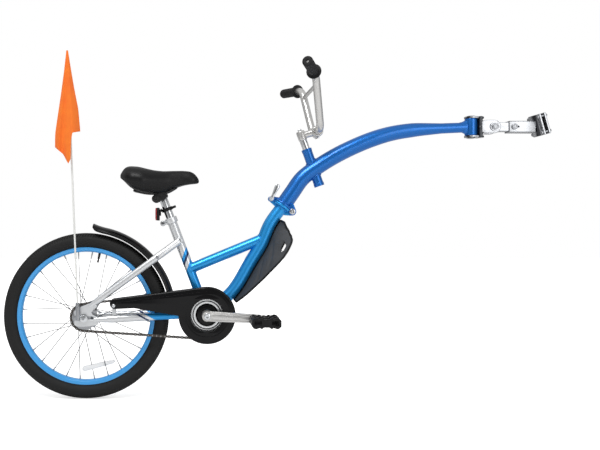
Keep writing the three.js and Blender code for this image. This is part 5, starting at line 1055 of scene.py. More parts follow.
guardLook = {"long": 273, "rise": 35, "disc": 85, "end": 16}
guardEnd = Vector((bracketPoint.x - guardLook["long"], 0, bracketPoint.z + guardLook["rise"]))
guardScrew = Vector((guardEnd.x - guardLook["end"] / 4, 0, guardEnd.z - guardLook["end"] / 3))


def guardOutline(inset):
    # a disc round the chainring and a small round end by the axle, with a corner in the lower edge between them
    disc, end = guardLook["disc"] - inset, guardLook["end"] - inset
    way = math.atan2(guardEnd.z - bracketPoint.z, guardEnd.x - bracketPoint.x)
    spread = math.acos((disc - end) / math.hypot(guardLook["long"], guardLook["rise"]))
    meet = math.pi - math.asin((8 - inset) / disc) / 2
    points = []
    for k in range(73):
        turn = mixed(meet - 2 * math.pi, way - spread, k / 72)
        points.append((bracketPoint.x + disc * math.cos(turn), bracketPoint.z + disc * math.sin(turn)))
    for k in range(19):
        turn = mixed(way - spread, 1.5 * math.pi, k / 18)
        points.append((guardEnd.x + end * math.cos(turn), guardEnd.z + end * math.sin(turn)))
    points.append((bracketPoint.x - disc - 16, guardEnd.z - end + 8))
    return points


def makeChainGuard():
    face = sidePlate(guardOutline(4.4), -70, -67.6, 0.3, [circle(bracketPoint, 49.5, 72)])
    levels = [(5, -69.8), (4.2, -70), (3.0, -69.7), (1.4, -68.6), (0.4, -67.2), (0, -65.5), (0, -52.4),
              (0.6, -52), (1.9, -52), (2.4, -52.5), (2.4, -65), (3.4, -67.6), (5, -67.8)]
    rings = [[Vector((x, y, z)) for x, z in guardOutline(inset)] for inset, y in levels]
    edge = skin(rings, loop=True, caps=False)
    lip = turned([(48.5, 67.2), (49.6, 67), (51.6, 69), (51.6, 70.4), (50.4, 71.2), (49, 70.6)], bracketPoint,
                 -across, 96, 0.6)
    crease = sidePlate(guardOutline(13)[:-1], -70.5, -69.9, 0.25, [circle(bracketPoint, 62, 72)])
    boss = bar(sideways(guardScrew, -69), sideways(guardScrew, -52.2), 6)
    makePiece("chainGuard", "frame", [(glossAbs, [face, edge, lip, crease, boss])],
              ["chain_guard"])
    head = turned([(0, 0.4), (5.5, 0.4), (5.4, 1.4), (3.6, 2.9), (2, 3.0), (1.6, 2.0), (0, 2.0)],
                  sideways(guardScrew, -70.4), -across, 40, 0.4)
    shank = bar(sideways(guardScrew, -70.4), sideways(guardScrew, -49.2), 2.4)
    makePiece("guardScrew", "frame", [(chromePlate, [head, shank])], ["guard_screw"])


mudguardLook = {"crown": 275, "edge": 256, "half": 31, "thick": 2.2, "from": 7, "to": 85.4, "flare": 7,
                "screw": math.radians(9.8)}


def makeMudguard():
    look = mudguardLook
    rings, steps, around = [], 72, 20
    for i in range(steps + 1):
        share = i / steps
        angle = math.radians(mixed(look["from"], look["to"], share))
        flare = look["flare"] * max(0, (share - 0.9) / 0.1) ** 2
        tuck = 1 - 0.25 * max(0, (share - 0.97) / 0.03) ** 2 - 0.2 * max(0, (0.03 - share) / 0.03) ** 2
        ring = []
        for inset, order in ((0, range(around + 1)), (look["thick"], range(around, -1, -1))):
            for k in order:
                bow = (k / around - 0.5) * math.pi * tuck
                crown = look["crown"] - look["edge"] - inset
                radius = look["edge"] + crown * math.cos(bow) + flare
                ring.append(sideways(axlePoint + heading(angle) * radius,
                                     (look["half"] - inset) * math.sin(bow)))
        rings.append(ring)
    ridges = []
    for way in (-1, 1):
        path = [sideways(axlePoint + heading(math.radians(mixed(8, 84, k / 60))) * 264.6, way * 28.0)
                for k in range(61)]
        ridges.append(tube(path, 0.9, ring=8))
    outward = heading(look["screw"])
    rivet = turned([(0, -1), (4.5, -1), (4.2, 0.6), (2.4, 1.8), (0, 2)], axlePoint + outward * look["crown"],
                   outward, 28, 0.3)
    makePiece("mudguard", "frame", [(glossAbs, [skin(rings), *ridges]), (zincSteel, [rivet])],
              ["mudguard"])


splashLook = {"half": 80, "reach": 54, "top": 0.9, "bottom": 0.22, "power": 1.6, "thick": 3, "rows": 96,
              "columns": 72, "step": 0.018}
splashReach = [(0, 0.1), (0.06, 0.65), (0.18, 0.98), (0.3, 0.92), (0.45, 0.76), (0.64, 0.6), (0.86, 0.28),
               (1, 0.1)]
splashWidth = [(0, 0.32), (0.25, 0.95), (0.42, 1), (0.75, 0.62), (1, 0.36)]


def splashPlace(row, x, lift=0):
    look = splashLook
    share = mixed(look["top"], look["bottom"], row) * (len(downTube) - 1)
    i = min(int(share), len(downTube) - 2)
    spot = mixed(downTube[i], downTube[i + 1], share - i)
    tangent = (downTube[min(i + 2, len(downTube) - 1)] - downTube[max(i - 1, 0)]).normalized()
    ahead = Vector((tangent.z, 0, -tangent.x))
    reach = eased(splashReach, row, look["step"]) * look["reach"] * abs(x) ** look["power"]
    return sideways(spot + ahead * (19.05 + 1.8 + reach + lift),
                    x * eased(splashWidth, row, look["step"]) * look["half"])


def makeSplashGuard():
    look = splashLook
    rows, columns = look["rows"], look["columns"]
    skins, panel = [], []
    for lift in (0, look["thick"] - 0.6):
        grid = []
        for i in range(rows + 1):
            line = []
            for j in range(columns + 1):
                row, x = i / rows, 2 * j / columns - 1
                # two moulded channels run down and outwards on each wing
                channel = 0
                ends = min(1, (1 - abs(x)) * 6), min(1, max(0, abs(x) - 0.22) * 6)
                for start in (0.16, 0.36):
                    away = abs(row - (start + 0.42 * abs(x)))
                    channel = max(channel, max(0, 1 - away / 0.045) * ends[0] * ends[1])
                line.append(splashPlace(row, x, lift + 2.4 * channel))
            grid.append(line)
        skins.append(grid)
    points = [p for grid in skins for line in grid for p in line]
    layer, width = (rows + 1) * (columns + 1), columns + 1

    def inSlot(i, j):
        # an oval slot through each wing
        row, x = (i + 0.5) / rows, abs(2 * (j + 0.5) / columns - 1)
        return ((x - 0.78) / 0.12) ** 2 + ((row - 0.27 - 0.2 * (x - 0.78)) / 0.045) ** 2 < 1

    faces = []
    for i in range(rows):
        for j in range(columns):
            if inSlot(i, j):
                continue
            a = i * width + j
            quad = (a, a + 1, a + width + 1, a + width)
            faces += [quad, tuple(p + layer for p in quad[::-1])]
            sides = (a, a + 1, -1, 0), (a + width, a + width + 1, 1, 0), (a, a + width, 0, -1), (a + 1,
                                                                                                 a + width + 1,
                                                                                                 0, 1)
            for p, q, di, dj in sides:
                if not (0 <= i + di < rows and 0 <= j + dj < columns) or inSlot(i + di, j + dj):
                    faces.append((p, q, q + layer, p + layer))
    # moulded rib down the middle, which rests on the tube
    spine = tube([splashPlace(k / 60, 0, -0.7) for k in range(61)], 0.85, side=across, breadth=9, ring=16)
    border = [splashPlace(0, x / 20 - 1, 1.4) for x in range(0, 41)]
    border += [splashPlace(k / 60, 1, 1.4) for k in range(1, 61)]
    border += [splashPlace(1, 1 - x / 20, 1.4) for x in range(1, 41)]
    border += [splashPlace(1 - k / 60, -1, 1.4) for k in range(1, 60)]
    rim = tube(evenly([*border, border[0]], 241)[:-1], 3.0, side=up, ring=14, loop=True)
    makePiece("splashGuard", "frame",
              [(charcoalAbs, [(points, faces)]), (gripRubber, [rim, spine])], ["splash_guard"], 40)


makeFrontFrame()
makeRearFrame()
makeChainGuard()
makeMudguard()
makeSplashGuard()
print("frame made")


# fold joint, tow arm, stem and handlebar
def makeFoldPin():
    heads = [turned([(0, 0), (8.6, 0), (9, 0.6), (9, 2.4), (7.6, 3.8), (3.2, 4.2), (2.8, 3.4), (0, 3.4)],
                    sideways(pinPoint, side * 24.3), across * side, 56, 0.4) for side in (-1, 1)]
    makePiece("foldPin", "tow_arm", [(chromePlate, [crossBar(pinPoint, -24.6, 24.6, 4.9), *heads])],
              ["fold_pin"])


def makeRelease(name, body, node, point, clampHalf, leverSide, camSeat, nutRadius):
    seatFace = clampHalf + gap
    nut = turned([(0, 0), (nutRadius, 0), (nutRadius, 2.6), (nutRadius - 1.6, 4.6), (0, 4.9)],
                 sideways(point, -leverSide * seatFace), across * -leverSide, 48, 0.6)
    seat = turned([(0, 0), (nutRadius - 0.4, 0), (nutRadius, 0.6), (nutRadius, camSeat - 0.6),
                   (nutRadius - 0.6, camSeat), (0, camSeat)], sideways(point, leverSide * seatFace),
                  across * leverSide, 48, 0.3)
    shank = crossBar(point, -seatFace - 5, seatFace + camSeat, 2.9)
    tip = thread(sideways(point, -leverSide * (seatFace + 4.4)), across * -leverSide, 2.4, 0.6)
    makePiece(name, body, [(zincSteel, [shank, tip]), (chromePlate, [nut, seat])], [node])


def makeLever(name, body, node, cam, way, leverSide, length, half):
    hinge = Vector((-way.z, 0, way.x))
    camBody = bar(cam - hinge * 6, cam + hinge * 6, 5, None, 40, 0.8)
    caps = [bar(cam + hinge * 5.8 * s, cam + hinge * 6.6 * s, 2.4, 2.0, 24, 0.2) for s in (-1, 1)]
    lift = across * leverSide
    path = []
    for k in range(25):
        t = k / 24
        swell = 1.6 * t + 2.0 * math.sin(t * math.pi) * (1 - t) - 0.8 * t * t
        path.append(cam + way * length * t + lift * swell)
    shape = [(0, 0.8), (0.2, 0.62), (0.5, 0.8), (0.8, 1), (0.92, 0.96), (1, 0.3)]
    blade = tube(path, lambda share: half * fromTable(shape, share), side=lift, breadth=2.7 / half, ring=28)
    makePiece(name, body, [(chromePlate, [camBody, blade]), (zincSteel, caps)], [node])


headTopPoint = Vector((-712.13, 0, -73.73))
headBottomPoint = Vector((-671.87, 0, -186.77))


def makeTowArm():
    def size(share):
        return fromTable(armSizes, share)

    shown = [(i / (len(armRoute) - 1), p)
             for i, p in enumerate(armRoute) if (p - foldPoint).dot(foldLine) > 4 and p.x < yawPoint.x - 12]
    shares = [share for share, _ in shown]
    arm = tube([p for _, p in shown],
               lambda t: size(shares[min(len(shares) - 1, round(t * (len(shares) - 1)))]), ring=64)
    arm = bored(arm, headBottomPoint - headLine * 20, headTopPoint + headLine * 20, 13)  # room for the quill
    sleeve = turned([(8.5, -25.5), (17.4, -25.5), (18.5, -24.4), (18.5, 24.4), (17.4, 25.5), (8.5, 25.5)],
                    yawPoint, up, 96, 0.6)
    flare = []
    for i in range(13):
        share = i / 12
        high = mixed(15, 24, share**1.6)
        ring = []
        for k in range(40):
            turn = 2 * math.pi * k / 40
            ring.append(yawPoint + Vector((mixed(-34, -15, share), 14.6 * math.cos(turn),
                                           high * math.sin(turn))))
        flare.append(ring)
    head = turned([(11.4, 0), (15.6, 0), (15.6, 9), (14.8, 10), (14.8, 110), (15.6, 111), (15.6, 120),
                   (11.4, 120)], headBottomPoint, headLine, 80, 0.6)
    gussetRoot, gussetTop = foldAt(19.5, 8), foldAt(19.5, 54)
    gusset = sidePlate(linkOutline(gussetRoot, 5, gussetTop, 2.5), -2.5, 2.5, 0.8)
    armAtHead = min(armRoute, key=lambda p: (p - (headTopPoint + headBottomPoint) / 2).length)
    i = armRoute.index(armAtHead)
    armWay = (armRoute[i + 3] - armRoute[i - 3]).normalized()
    armHere = size(i / (len(armRoute) - 1))
    beads = [
        weldBead(headTopPoint, -headLine, 14.8, armAtHead, armWay, armHere, 2.4),
        weldBead(headBottomPoint, headLine, 14.8, armAtHead, armWay, armHere, 2.4),
        foldBead(24.4, 8.8, 190),
    ]
    joint = [foldFlange(1), *[knuckle(s * 9.3, s * 24, 1) for s in (-1, 1)],
             *[foldEar(s * 6.3, s * 12.3, 1) for s in (-1, 1)]]
    makePiece("towArm", "tow_arm",
              [(armLacquer, [arm, sleeve, skin(flare), head, gusset, *beads, *joint])], ["tow_arm"])


def makeStem():
    stemHead = headTopPoint + headLine * 43
    quillDeep = 85
    quill = turned([(0, 0), (11.1, 0), (11.1, quillDeep), (11.1, quillDeep + 43), (0, quillDeep + 43)],
                   headTopPoint - headLine * quillDeep, headLine, 64, 0.6)
    head = turned([(0, -15), (11.6, -15), (13, -12.4), (13, 11), (12.2, 13.6), (10, 15), (0, 15)], stemHead,
                  headLine, 72, 1.2)
    extension = tube(evenly([stemHead, barPoint], 12),
                     lambda t: mixed(11.2, 12.4, t) * (1 - 0.09 * math.sin(math.pi * t)), breadth=0.9, ring=40)
    clamp = turned([(11.3, -20), (15.2, -20), (17, -17.6), (17, 17.6), (15.2, 20), (11.3, 20)], barPoint,
                   across, 72, 0.8)
    lug = block(barPoint - up * 15.6, 9, 30, 9, 1.6)
    # painted shade: the clamp's slit is drawn as a thin black sheet through the lug, standing in for the shade
    # in the gap
    paintedSlitShade = block(barPoint - up * 18.4, 1.4, 31, 5, 0.3)
    pinch = bar(barPoint - up * 16.5 - forward * 8.5, barPoint - up * 16.5 + forward * 8.5, 3, None, 24, 0.4)
    makePiece("stem", "stem",
              [(forgedAlloy, [head, extension, clamp, lug]), (chromePlate, [quill, pinch]),
               (gripRubber, [paintedSlitShade])], ["stem"])
    bolt = turned([(0, 0), (6, 0), (6, 3.4), (5, 5.6), (2.8, 6), (2.6, 4.4), (0, 4.4)],
                  stemHead + headLine * 15.3, headLine, 48, 0.4)
    makePiece("stemBolt", "stem", [(chromePlate, [bolt])], ["stem_bolt"])


# grip end, upper bend and lower bend, as shares of the bar's reach, rise and sweep
barShares = [(1, 1, 1), (0.52, 0.93, 0.37), (0.27, 0, 0)]
barReach, barRise, barSweep = 242, 160, 67


def barPlace(side, share):
    out, rise, back = share
    return Vector((barPoint.x - back * barSweep, side * out * barReach, barPoint.z + rise * barRise))


def makeHandlebar():
    halves = [[barPlace(side, share) for share in barShares] for side in (-1, 1)]
    route = evenly(bentPath([*halves[0], *halves[1][::-1]], 25, 12), 220)
    main = tube(route, 11.1, side=forward, ring=40)
    climb = 123 / barRise / barShares[1][1]  # the crossbar lies 123 mm above the clamp
    ends = [mixed(barPlace(side, barShares[2]), barPlace(side, barShares[1]), climb) for side in (-1, 1)]
    cross = tube([ends[0], (ends[0] + ends[1]) / 2, ends[1]], 6, side=forward, ring=28)
    beads = []
    for side, end in zip((-1, 1), ends):
        way = (barPlace(side, barShares[1]) - barPlace(side, barShares[2])).normalized()
        beads.append(weldBead(end - across * side * 60, across * side, 6, end, way, 11.1, 1.5))
    makePiece("handlebar", "handlebar", [(forgedAlloy, [main, cross, *beads])], ["handlebar"])


def makeGrip(name, side):
    end = barPlace(side, barShares[0])
    inward = (barPlace(side, barShares[1]) - end).normalized()
    start = end - inward * 5.3
    profile = [(4, 0), (11, 0), (14.2, 1.4), (15, 4)]
    for k in range(16):
        at = 8 + k * 5.1
        profile += [(15, at), (15, at + 3.2), (14.1, at + 3.7), (14.1, at + 4.6)]
    profile += [(15, 92), (15, 96.2), (21, 96.8), (21.5, 98), (21.5, 99.6), (20.6, 101), (11.4, 101.3),
                (11.4, 6), (4, 6)]
    makePiece(name, "handlebar", [(gripRubber, [turned(profile, start, inward, 64, 0.35)])],
              [name])


# hitch, from the yoke to the clamp on the towing bike's post
def makeYoke():
    webX = -185.2
    web = block(Vector((webX, 0, yawPoint.z)), 10, 39.6, 63.6, 1.6)
    plateRoot = Vector((-170.2, 0, pitchPoint.z))
    sides, ears = [], []
    for s in (-1, 1):
        sides.append(sidePlate(linkOutline(pitchPoint, 20, plateRoot, 20), s * 13.8, s * 19.8, 1.2,
                               [circle(pitchPoint, 8.2)]))
        ears.append(plate(linkOutline((yawPoint.x, 0), 20, (webX, 0), 15), 6,
                          Vector((0, 0, yawPoint.z + s * 28.8)), forward, across, 1.2,
                          [circle((yawPoint.x, 0), 8.2)]))
    makePiece("pivotYoke", "pivot_yoke", [(hitchPlate, [*sides, *ears]), (dullZinc, [web])],
              ["pivot_yoke"])


def makePitchBolt():
    half = 19.8
    shank = bar(pitchPoint - across * half, pitchPoint + across * half, 8, None, 40)
    washers, heads = [], []
    for s in (-1, 1):
        face = pitchPoint + across * s * (half + gap)
        washers.append(turned([(0, 0), (13.2, 0), (14, 0.8), (13.6, 2.4), (0, 2.5)], face, across * s, 64, 0.3))
        heads.append(hexNut(face + across * s * 2.5, across * s, 11, 4.8))
        heads.append(turned([(0, 0), (7.6, 0), (7.2, 1), (6.2, 1.2), (5.6, 0.4), (0, 0.4)],
                            face + across * s * 7.3, across * s, 40, 0.2))
    makePiece("pitchBolt", "pivot_yoke", [(zincSteel, [shank, *heads]), (hitchPlate, washers)],
              ["pitch_bolt"])


def makeYawBolt():
    half = 31.8
    shank = bar(yawPoint - up * half, yawPoint + up * half, 8, None, 40)
    heads = [turned([(0, 0), (12.4, 0), (13, 0.6), (12.2, 1.8), (9, 2.5), (0, 2.5)],
                    yawPoint + up * s * (half + gap), up * s, 64, 0.4) for s in (-1, 1)]
    makePiece("yawBolt", "pivot_yoke", [(zincSteel, [shank]), (hitchPlate, heads)], ["yaw_bolt"])


def makeTongue():
    eye = linkOutline(pitchPoint, 13.5, Vector((-130, 0, pitchPoint.z)), 13.5)[:15]
    body = [*[Vector(p) for p in eye], Vector((-34, pitchPoint.z - 13.5)), Vector((-34, pitchPoint.z + 13.5))]
    tongue = sidePlate([(p[0], p[-1]) for p in body], -13.5, 13.5, 1.2, [circle(pitchPoint, 8.2)])
    makePiece("hitchTongue", "hitch_clamp", [(hitchPlate, [tongue])], ["hitch_tongue"])


clampLean = math.radians(15.6)


def leaned(shape):
    points, faces = shape
    turn = Matrix.Rotation(-clampLean, 3, across)
    return [turn @ p for p in points], faces


def arcOutline(inner, outer, edge, way, steps=40):
    # half a ring, cut back from the middle plane
    made = []
    for radius, order in ((outer, range(steps + 1)), (inner, range(steps, -1, -1))):
        limit = math.acos(edge / radius)
        for k in order:
            turn = mixed(-limit, limit, k / steps)
            made.append((way * radius * math.cos(turn), radius * math.sin(turn)))
    return made


boltPlaces = [(side * 29.4, high * 24) for side in (-1, 1) for high in (-1, 1)]


def clampShell(way):
    shapes = [plate(arcOutline(17.9, 23.9, 4.5, way), 65, Vector(), forward, across, 1)]
    for side in (-1, 1):
        flange = block(Vector((way * 7.5, side * 26.4, 0)), 6, 19, 65, 1.2)
        shapes += [flange, block(Vector((way * 7.5, side * 20.4, 0)), 6, 4, 62, 0.6)]
    return [leaned(shape) for shape in shapes]


def makeHitchClamp():
    outer, hole = rectangle(35, 35, 3), rectangle(27.8, 27.8, 1.2)
    front, rear = -19.5, -99
    box = plate(outer, front - rear, Vector(((front + rear) / 2, 0, pitchPoint.z)), across, up, 0.8, [hole])
    lock = turned([(0, 17.45), (3.1, 17.45), (3.1, 17.75), (0, 17.75)], Vector((-71, 0, pitchPoint.z)), -across,
                  28, 0)
    makePiece("hitchReceiver", "hitch_clamp",
              [(hitchPlate, [box, *clampShell(-1)]), (gripRubber, [lock])], ["hitch_receiver"])
    makePiece("clampCap", "hitch_clamp", [(hitchPlate, clampShell(1))], ["clamp_cap"])
    for name, way in (("clamp_insert_rear", -1), ("clamp_insert_front", 1)):
        insert = leaned(plate(arcOutline(14.35, 17.6, 1, way), 64.8, Vector(), forward, across, 0.6))
        makePiece(name, "hitch_clamp", [(gripRubber, [insert])], [name])
    for i, (y, z) in enumerate(boltPlaces):
        face = 10.8
        spot = lambda x: Vector((x, y, z))
        shank = bar(spot(-face), spot(face + 4.6), 2.9, None, 20, 0.3)
        head = turned([(2.2, 3), (2.2, 5), (4.6, 5), (5.5, 4.2), (5.5, 0), (0, 0), (0, 3)], spot(-face),
                      -forward, 32, 0.3)
        nut = hexNut(spot(face), forward, 5.4, 2.5)
        name = "clamp_bolt_" + str(i + 1)
        makePiece(name, "hitch_clamp", [(zincSteel, [leaned(shank), leaned(head), leaned(nut)])],
                  [name])
    pin = Vector((-84, 0, pitchPoint.z))
    shank = bar(sideways(pin, -18.4), sideways(pin, 23.4), 5.9, None, 36, 0.8)
    head = turned([(0, 0), (8.6, 0), (9, 0.8), (9, 4.4), (7.4, 6), (5.4, 6), (4.8, 4.6), (0, 4.6)],
                  sideways(pin, -17.8), -across, 56, 0.5)
    makePiece("hitchPin", "hitch_pin", [(chromePlate, [shank]), (zincSteel, [head])], ["hitch_pin"])


makeFoldPin()
makeRelease("foldSkewer", "tow_arm", "fold_skewer", foldSkewer, 12.3, -1, 3, 7)
makeLever("foldLever", "fold_lever", "fold_lever", foldCam, heading(math.radians(65)), -1, 48, 7.6)
makeTowArm()
makeStem()
makeHandlebar()
makeGrip("grip_right", -1)
makeGrip("grip_left", 1)
makeYoke()
makePitchBolt()
makeYawBolt()
makeTongue()
makeHitchClamp()
print("tow arm, handlebar and hitch made")


# seat post, collar, saddle and rear reflector
seatSkewer = Vector((seatCam.x, 0, seatCam.z))
seatBack = Vector((-seatLine.z, 0, seatLine.x))


def makeSeatPost():
    root = seatTop - seatLine * 120
    post = turned([(0, 0), (12.7, 0), (12.7, 182), (11.6, 186), (0, 186)], root, seatLine, 72, 0.6)
    marks = [turned([(12.2, at), (12.78, at), (12.78, at + 0.5), (12.2, at + 0.5)], root, seatLine, 72, 0)
             for at in (128, 138)]
    makePiece("seatPost", "seat_post", [(chromePlate, [post]), (zincSteel, marks)], ["seat_post"])


def makeSeatCollar():
    middle = seatTop - seatLine * 8.5
    ring = turned([(14.6, -8.5), (17.6, -8.5), (18.5, -7.4), (18.5, 7.4), (17.6, 8.5), (14.6, 8.5)], middle,
                  seatLine, 80, 0.5)
    root = middle + seatBack * 12
    ears = [sidePlate(linkOutline(seatSkewer, 6.5, root, 6.5), s * 1.5, s * 7.5, 1) for s in (-1, 1)]
    makePiece("seatCollar", "frame", [(silverLacquer, [ring, *ears])], ["seat_collar"])


# saddle: cushion with a skirt down each side, its underside rising to the tail and the nose
saddleLook = {"crown": 0.34, "drawIn": 0.2, "skirt": 18, "sit": 3.5, "fill": 0.7, "piping": 1.1, "steps": 96}
saddleWidths = [(0, 0.42), (0.06, 0.78), (0.16, 0.98), (0.3, 1), (0.46, 0.72), (0.62, 0.44), (0.8, 0.31),
                (0.95, 0.26), (1, 0.17)]
saddleTops = [(0, 0.66), (0.05, 0.93), (0.12, 1), (0.24, 0.99), (0.42, 0.86), (0.55, 0.8), (0.8, 0.8),
              (0.9, 0.77), (0.97, 0.63), (1, 0.46)]
saddleFloors = [(0, 0.6), (0.1, 0.16), (0.16, 0), (0.66, 0), (0.8, 0.2), (1, 0.38)]
saddleSkirts = [(0, 0), (0.1, 0), (0.2, 0.5), (0.3, 1), (0.56, 1), (0.66, 0), (1, 0)]
saddleLow, saddleHigh = nodeBox("saddle")
saddleBase = saddlePivot.z + 21


def saddlePlace(share, x, high):
    # share runs from tail to nose, x from side to side, high from underside to crown
    look = saddleLook
    top = eased(saddleTops, share) * (saddleHigh.z - saddleBase)
    half = eased(saddleWidths, share) * (saddleHigh.y - saddleLow.y) / 2
    crown = top * (1 - look["crown"] * abs(x) ** 3)
    rise = crown * mixed(eased(saddleFloors, share), 1, high)
    skirt = eased(saddleSkirts, share) * look["skirt"] * min(1,
                                                             max(0, (abs(x) - 0.5) / 0.28)) * (1 - high) ** 1.2
    sit = look["sit"] * math.exp(-((x / 0.5) ** 2)) * math.exp(-(((share - 0.4) / 0.2) ** 2)) * high**2
    width = half * x * (1 - look["drawIn"] * (1 - high) ** 1.5)
    return Vector((mixed(saddleLow.x, saddleHigh.x, share), width, saddleBase + rise - skirt - sit))


def saddleStation(i):
    # stations lie closer together at the tail and the nose, where the outline closes
    steps = saddleLook["steps"]
    share = mixed(0.5 - 0.5 * math.cos(math.pi * i / steps), i / steps, 0.35)
    return share, max(0, 1 - abs(2 * share - 1) ** 16)


def makeSaddle():
    rings, steps, around = [], saddleLook["steps"], 64
    for i in range(steps + 1):
        share, end = saddleStation(i)
        ring = []
        for k in range(around):
            turn = 2 * math.pi * k / around
            c, s = math.cos(turn), math.sin(turn)
            x = math.copysign(abs(c) ** 0.6, c) * max(0.04, math.sqrt(end))
            high = 0.5 + 0.5 * math.copysign(abs(s) ** 0.62, s) * max(0.12, end**0.4)
            ring.append(saddlePlace(share, x, high))
        rings.append(ring)
    cushion = makePiece("saddle", "saddle", [(saddleVinyl, [skin(rings)])], ["saddle"], 80)
    # piping where the cover is drawn over its edge
    edge = []
    for side, order in ((-1, range(3, steps - 2)), (1, range(steps - 3, 2, -1))):
        for i in order:
            share, end = saddleStation(i)
            edge.append(saddlePlace(share, side * 0.995 * math.sqrt(end), 0.34))
    piping = tube(evenly([*edge, edge[0]], 241)[:-1], saddleLook["piping"], side=up, ring=10, loop=True)
    makePiece("saddlePiping", "saddle", [(gripRubber, [piping])])


def makeSaddleHardware():
    railMiddle = saddlePivot + up * 8.4
    place = lambda share, y, z: Vector((railMiddle.x + 120 * share, y, z))
    side = lambda way: [place(-0.72, way * 27.5, saddleBase - 3.8), place(-0.4, way * 22, railMiddle.z),
                        place(0.1, way * 22, railMiddle.z), place(0.36, way * 10.5, saddleBase + 5)]
    route = bentPath([*side(-1), *side(1)[::-1]], 18, 8)
    rails = tube(evenly(route, 150), 3.5, side=up, ring=20)
    makePiece("saddleRails", "saddle", [(blackSteel, [rails])], ["saddle_rails"])
    barrel = turned([(0, -29), (13, -29), (14, -27.6), (14, 27.6), (13, 29), (0, 29)], saddlePivot, across, 72,
                    0.6)
    rearBolt = saddlePivot + Vector((-19, 0, -8))
    cheeks, caps = [], []
    for s in (-1, 1):
        cheeks.append(sidePlate(linkOutline(saddlePivot, 12.5, rearBolt, 12), s * 18, s * 24, 1.4))
        cheeks.append(sidePlate(linkOutline(saddlePivot + Vector((8, 0, 2)), 9, rearBolt + Vector((2, 0, 6)),
                                            9), s * 24, s * 27, 1.2))
        caps.append(turned([(0, 0), (8.6, 0), (9.4, 0.8), (9, 3.4), (7.4, 4.6), (4.6, 5), (4.2, 3.6), (0, 3.6)],
                           sideways(rearBolt, s * 24), across * s, 56, 0.5))
    makePiece("saddleClamp", "saddle", [(blackSteel, [barrel, *cheeks, *caps])], ["saddle_clamp"])


def makeReflector():
    ring = seatTop + seatLine * 27
    band = turned([(13, -5), (16.2, -5), (17, -4.2), (17, 4.2), (16.2, 5), (13, 5)], ring, seatLine, 72, 0.5)
    screw = bar(ring - seatBack * 16, ring - seatBack * 28, 3.8, None, 32, 0.6)
    screwHead = turned([(0, 0), (3.8, 0), (3.4, 1.6), (1.6, 2), (1.2, 1.2), (0, 1.2)], ring - seatBack * 26,
                       -seatBack, 32, 0.2)
    lens = Vector((ring.x - 21, 0, ring.z))
    link = bar(ring + seatBack * 15, lens, 3.8, None, 28, 0.6)
    panel = block(Vector((lens.x - 0.3, 0, lens.z - 9.75)), 4, 25, 19.5, 0.8)
    makePiece("reflectorBracket", "seat_post",
              [(grainPolypropylene, [band, screw, link, panel]), (zincSteel, [screwHead])],
              ["reflector_bracket"])
    low, high = nodeBox("rear_reflector")
    middle = (low + high) / 2
    size = high - low
    shellDeep, lensDeep = size.x * 0.62, size.x * 0.38
    shell = plate(rectangle(size.y, size.z, 8), shellDeep, Vector((high.x - shellDeep / 2, 0, middle.z)),
                  across, up, 1.4)
    # the lens stands 0.6 mm behind its raised field
    lensMiddle = Vector((low.x + lensDeep / 2 + 0.3, 0, middle.z))
    lensBody = plate(rectangle(size.y - 1, size.z - 1, 7.5), lensDeep - 0.6, lensMiddle, across, up, 1.2)
    inset = plate(rectangle(size.y - 9, size.z - 9, 5), 1, Vector((low.x + 0.5, 0, middle.z)), across, up, 0.4)
    makePiece("rearReflector", "seat_post",
              [(redAcrylic, [lensBody, inset]), (grainPolypropylene, [shell])], ["rear_reflector"])


makeSeatPost()
makeSeatCollar()
makeRelease("seatSkewer", "frame", "seat_skewer", seatSkewer, 7.5, 1, 9, 8)
makeLever("seatLever", "seat_lever", "seat_lever", seatCam, heading(math.radians(24)), 1, 44, 5.6)
makeSaddle()
makeSaddleHardware()
makeReflector()
print("seat made")


# flag and its pole
poleLength = 793
poleLine = Vector((-math.sin(math.radians(2.3)), 0, math.cos(math.radians(2.3))))
poleFoot = Vector((axlePoint.x - 9 - 6.3, -69.6, axlePoint.z))
poleTop = poleFoot + poleLine * poleLength
flagLook = {"flat": (0.1, 0.33), "area": 0.0155, "drop": 330, "rows": 72, "columns": 84, "thick": 0.5,
            "width": 70, "depth": 22}
flagLeft = [(0, 0.03), (0.23, 0.17), (0.46, 0.33), (0.86, 0.63), (1, 0.66)]
flagRight = [(0, 0.04), (0.23, 0.13), (0.46, 0.23), (0.72, 0.37), (1, 0.42)]
flagHem = [(0, 0.87), (0.3, 0.93), (0.52, 1.02), (0.62, 0.98), (0.68, 0.8), (0.73, 0.745), (1, 0.725)]
flagWave = [(0, 0.2), (0.16, 0.75), (0.3, 0.4), (0.46, 0.85), (0.62, 1), (0.76, 0.7), (0.88, 0.25), (1, -0.3)]


def makeFlag():
    plateShape = sidePlate(linkOutline(axlePoint, 10, poleFoot, 6), -62.6, -64.6, 0.5, [circle(axlePoint, 5.3)])
    socket = turned([(0, 0), (5.4, 0), (6, 0.8), (6, 51), (5.2, 52), (3.2, 52), (3.2, 6), (0, 6)],
                    poleFoot - poleLine * 6, poleLine, 48, 0.3)
    makePiece("flagBracket", "frame", [(zincSteel, [plateShape, socket])], ["flag_bracket"])
    pole = turned([(0, 0.3), (2.8, 0.3), (2.8, 788), (2.4, 792), (0, poleLength)], poleFoot, poleLine, 32, 0.4)
    makePiece("flagPole", "frame", [(glassFibre, [pole])], ["flag_pole"])


def clothPlace(across01, down, lift=0):
    look = flagLook
    reach = mixed(-eased(flagLeft, down), eased(flagRight, down), across01)
    hem = fromTable(flagHem, across01)
    spine = poleTop - poleLine * down * hem * look["drop"]
    lean = 0.16 * math.sin(3 * down + 5 * across01)
    depth = look["depth"] * down * (eased(flagWave, across01) + lean * down) + lift
    return sideways(spine + forward * reach * look["width"], spine.y - 3.2 - depth)


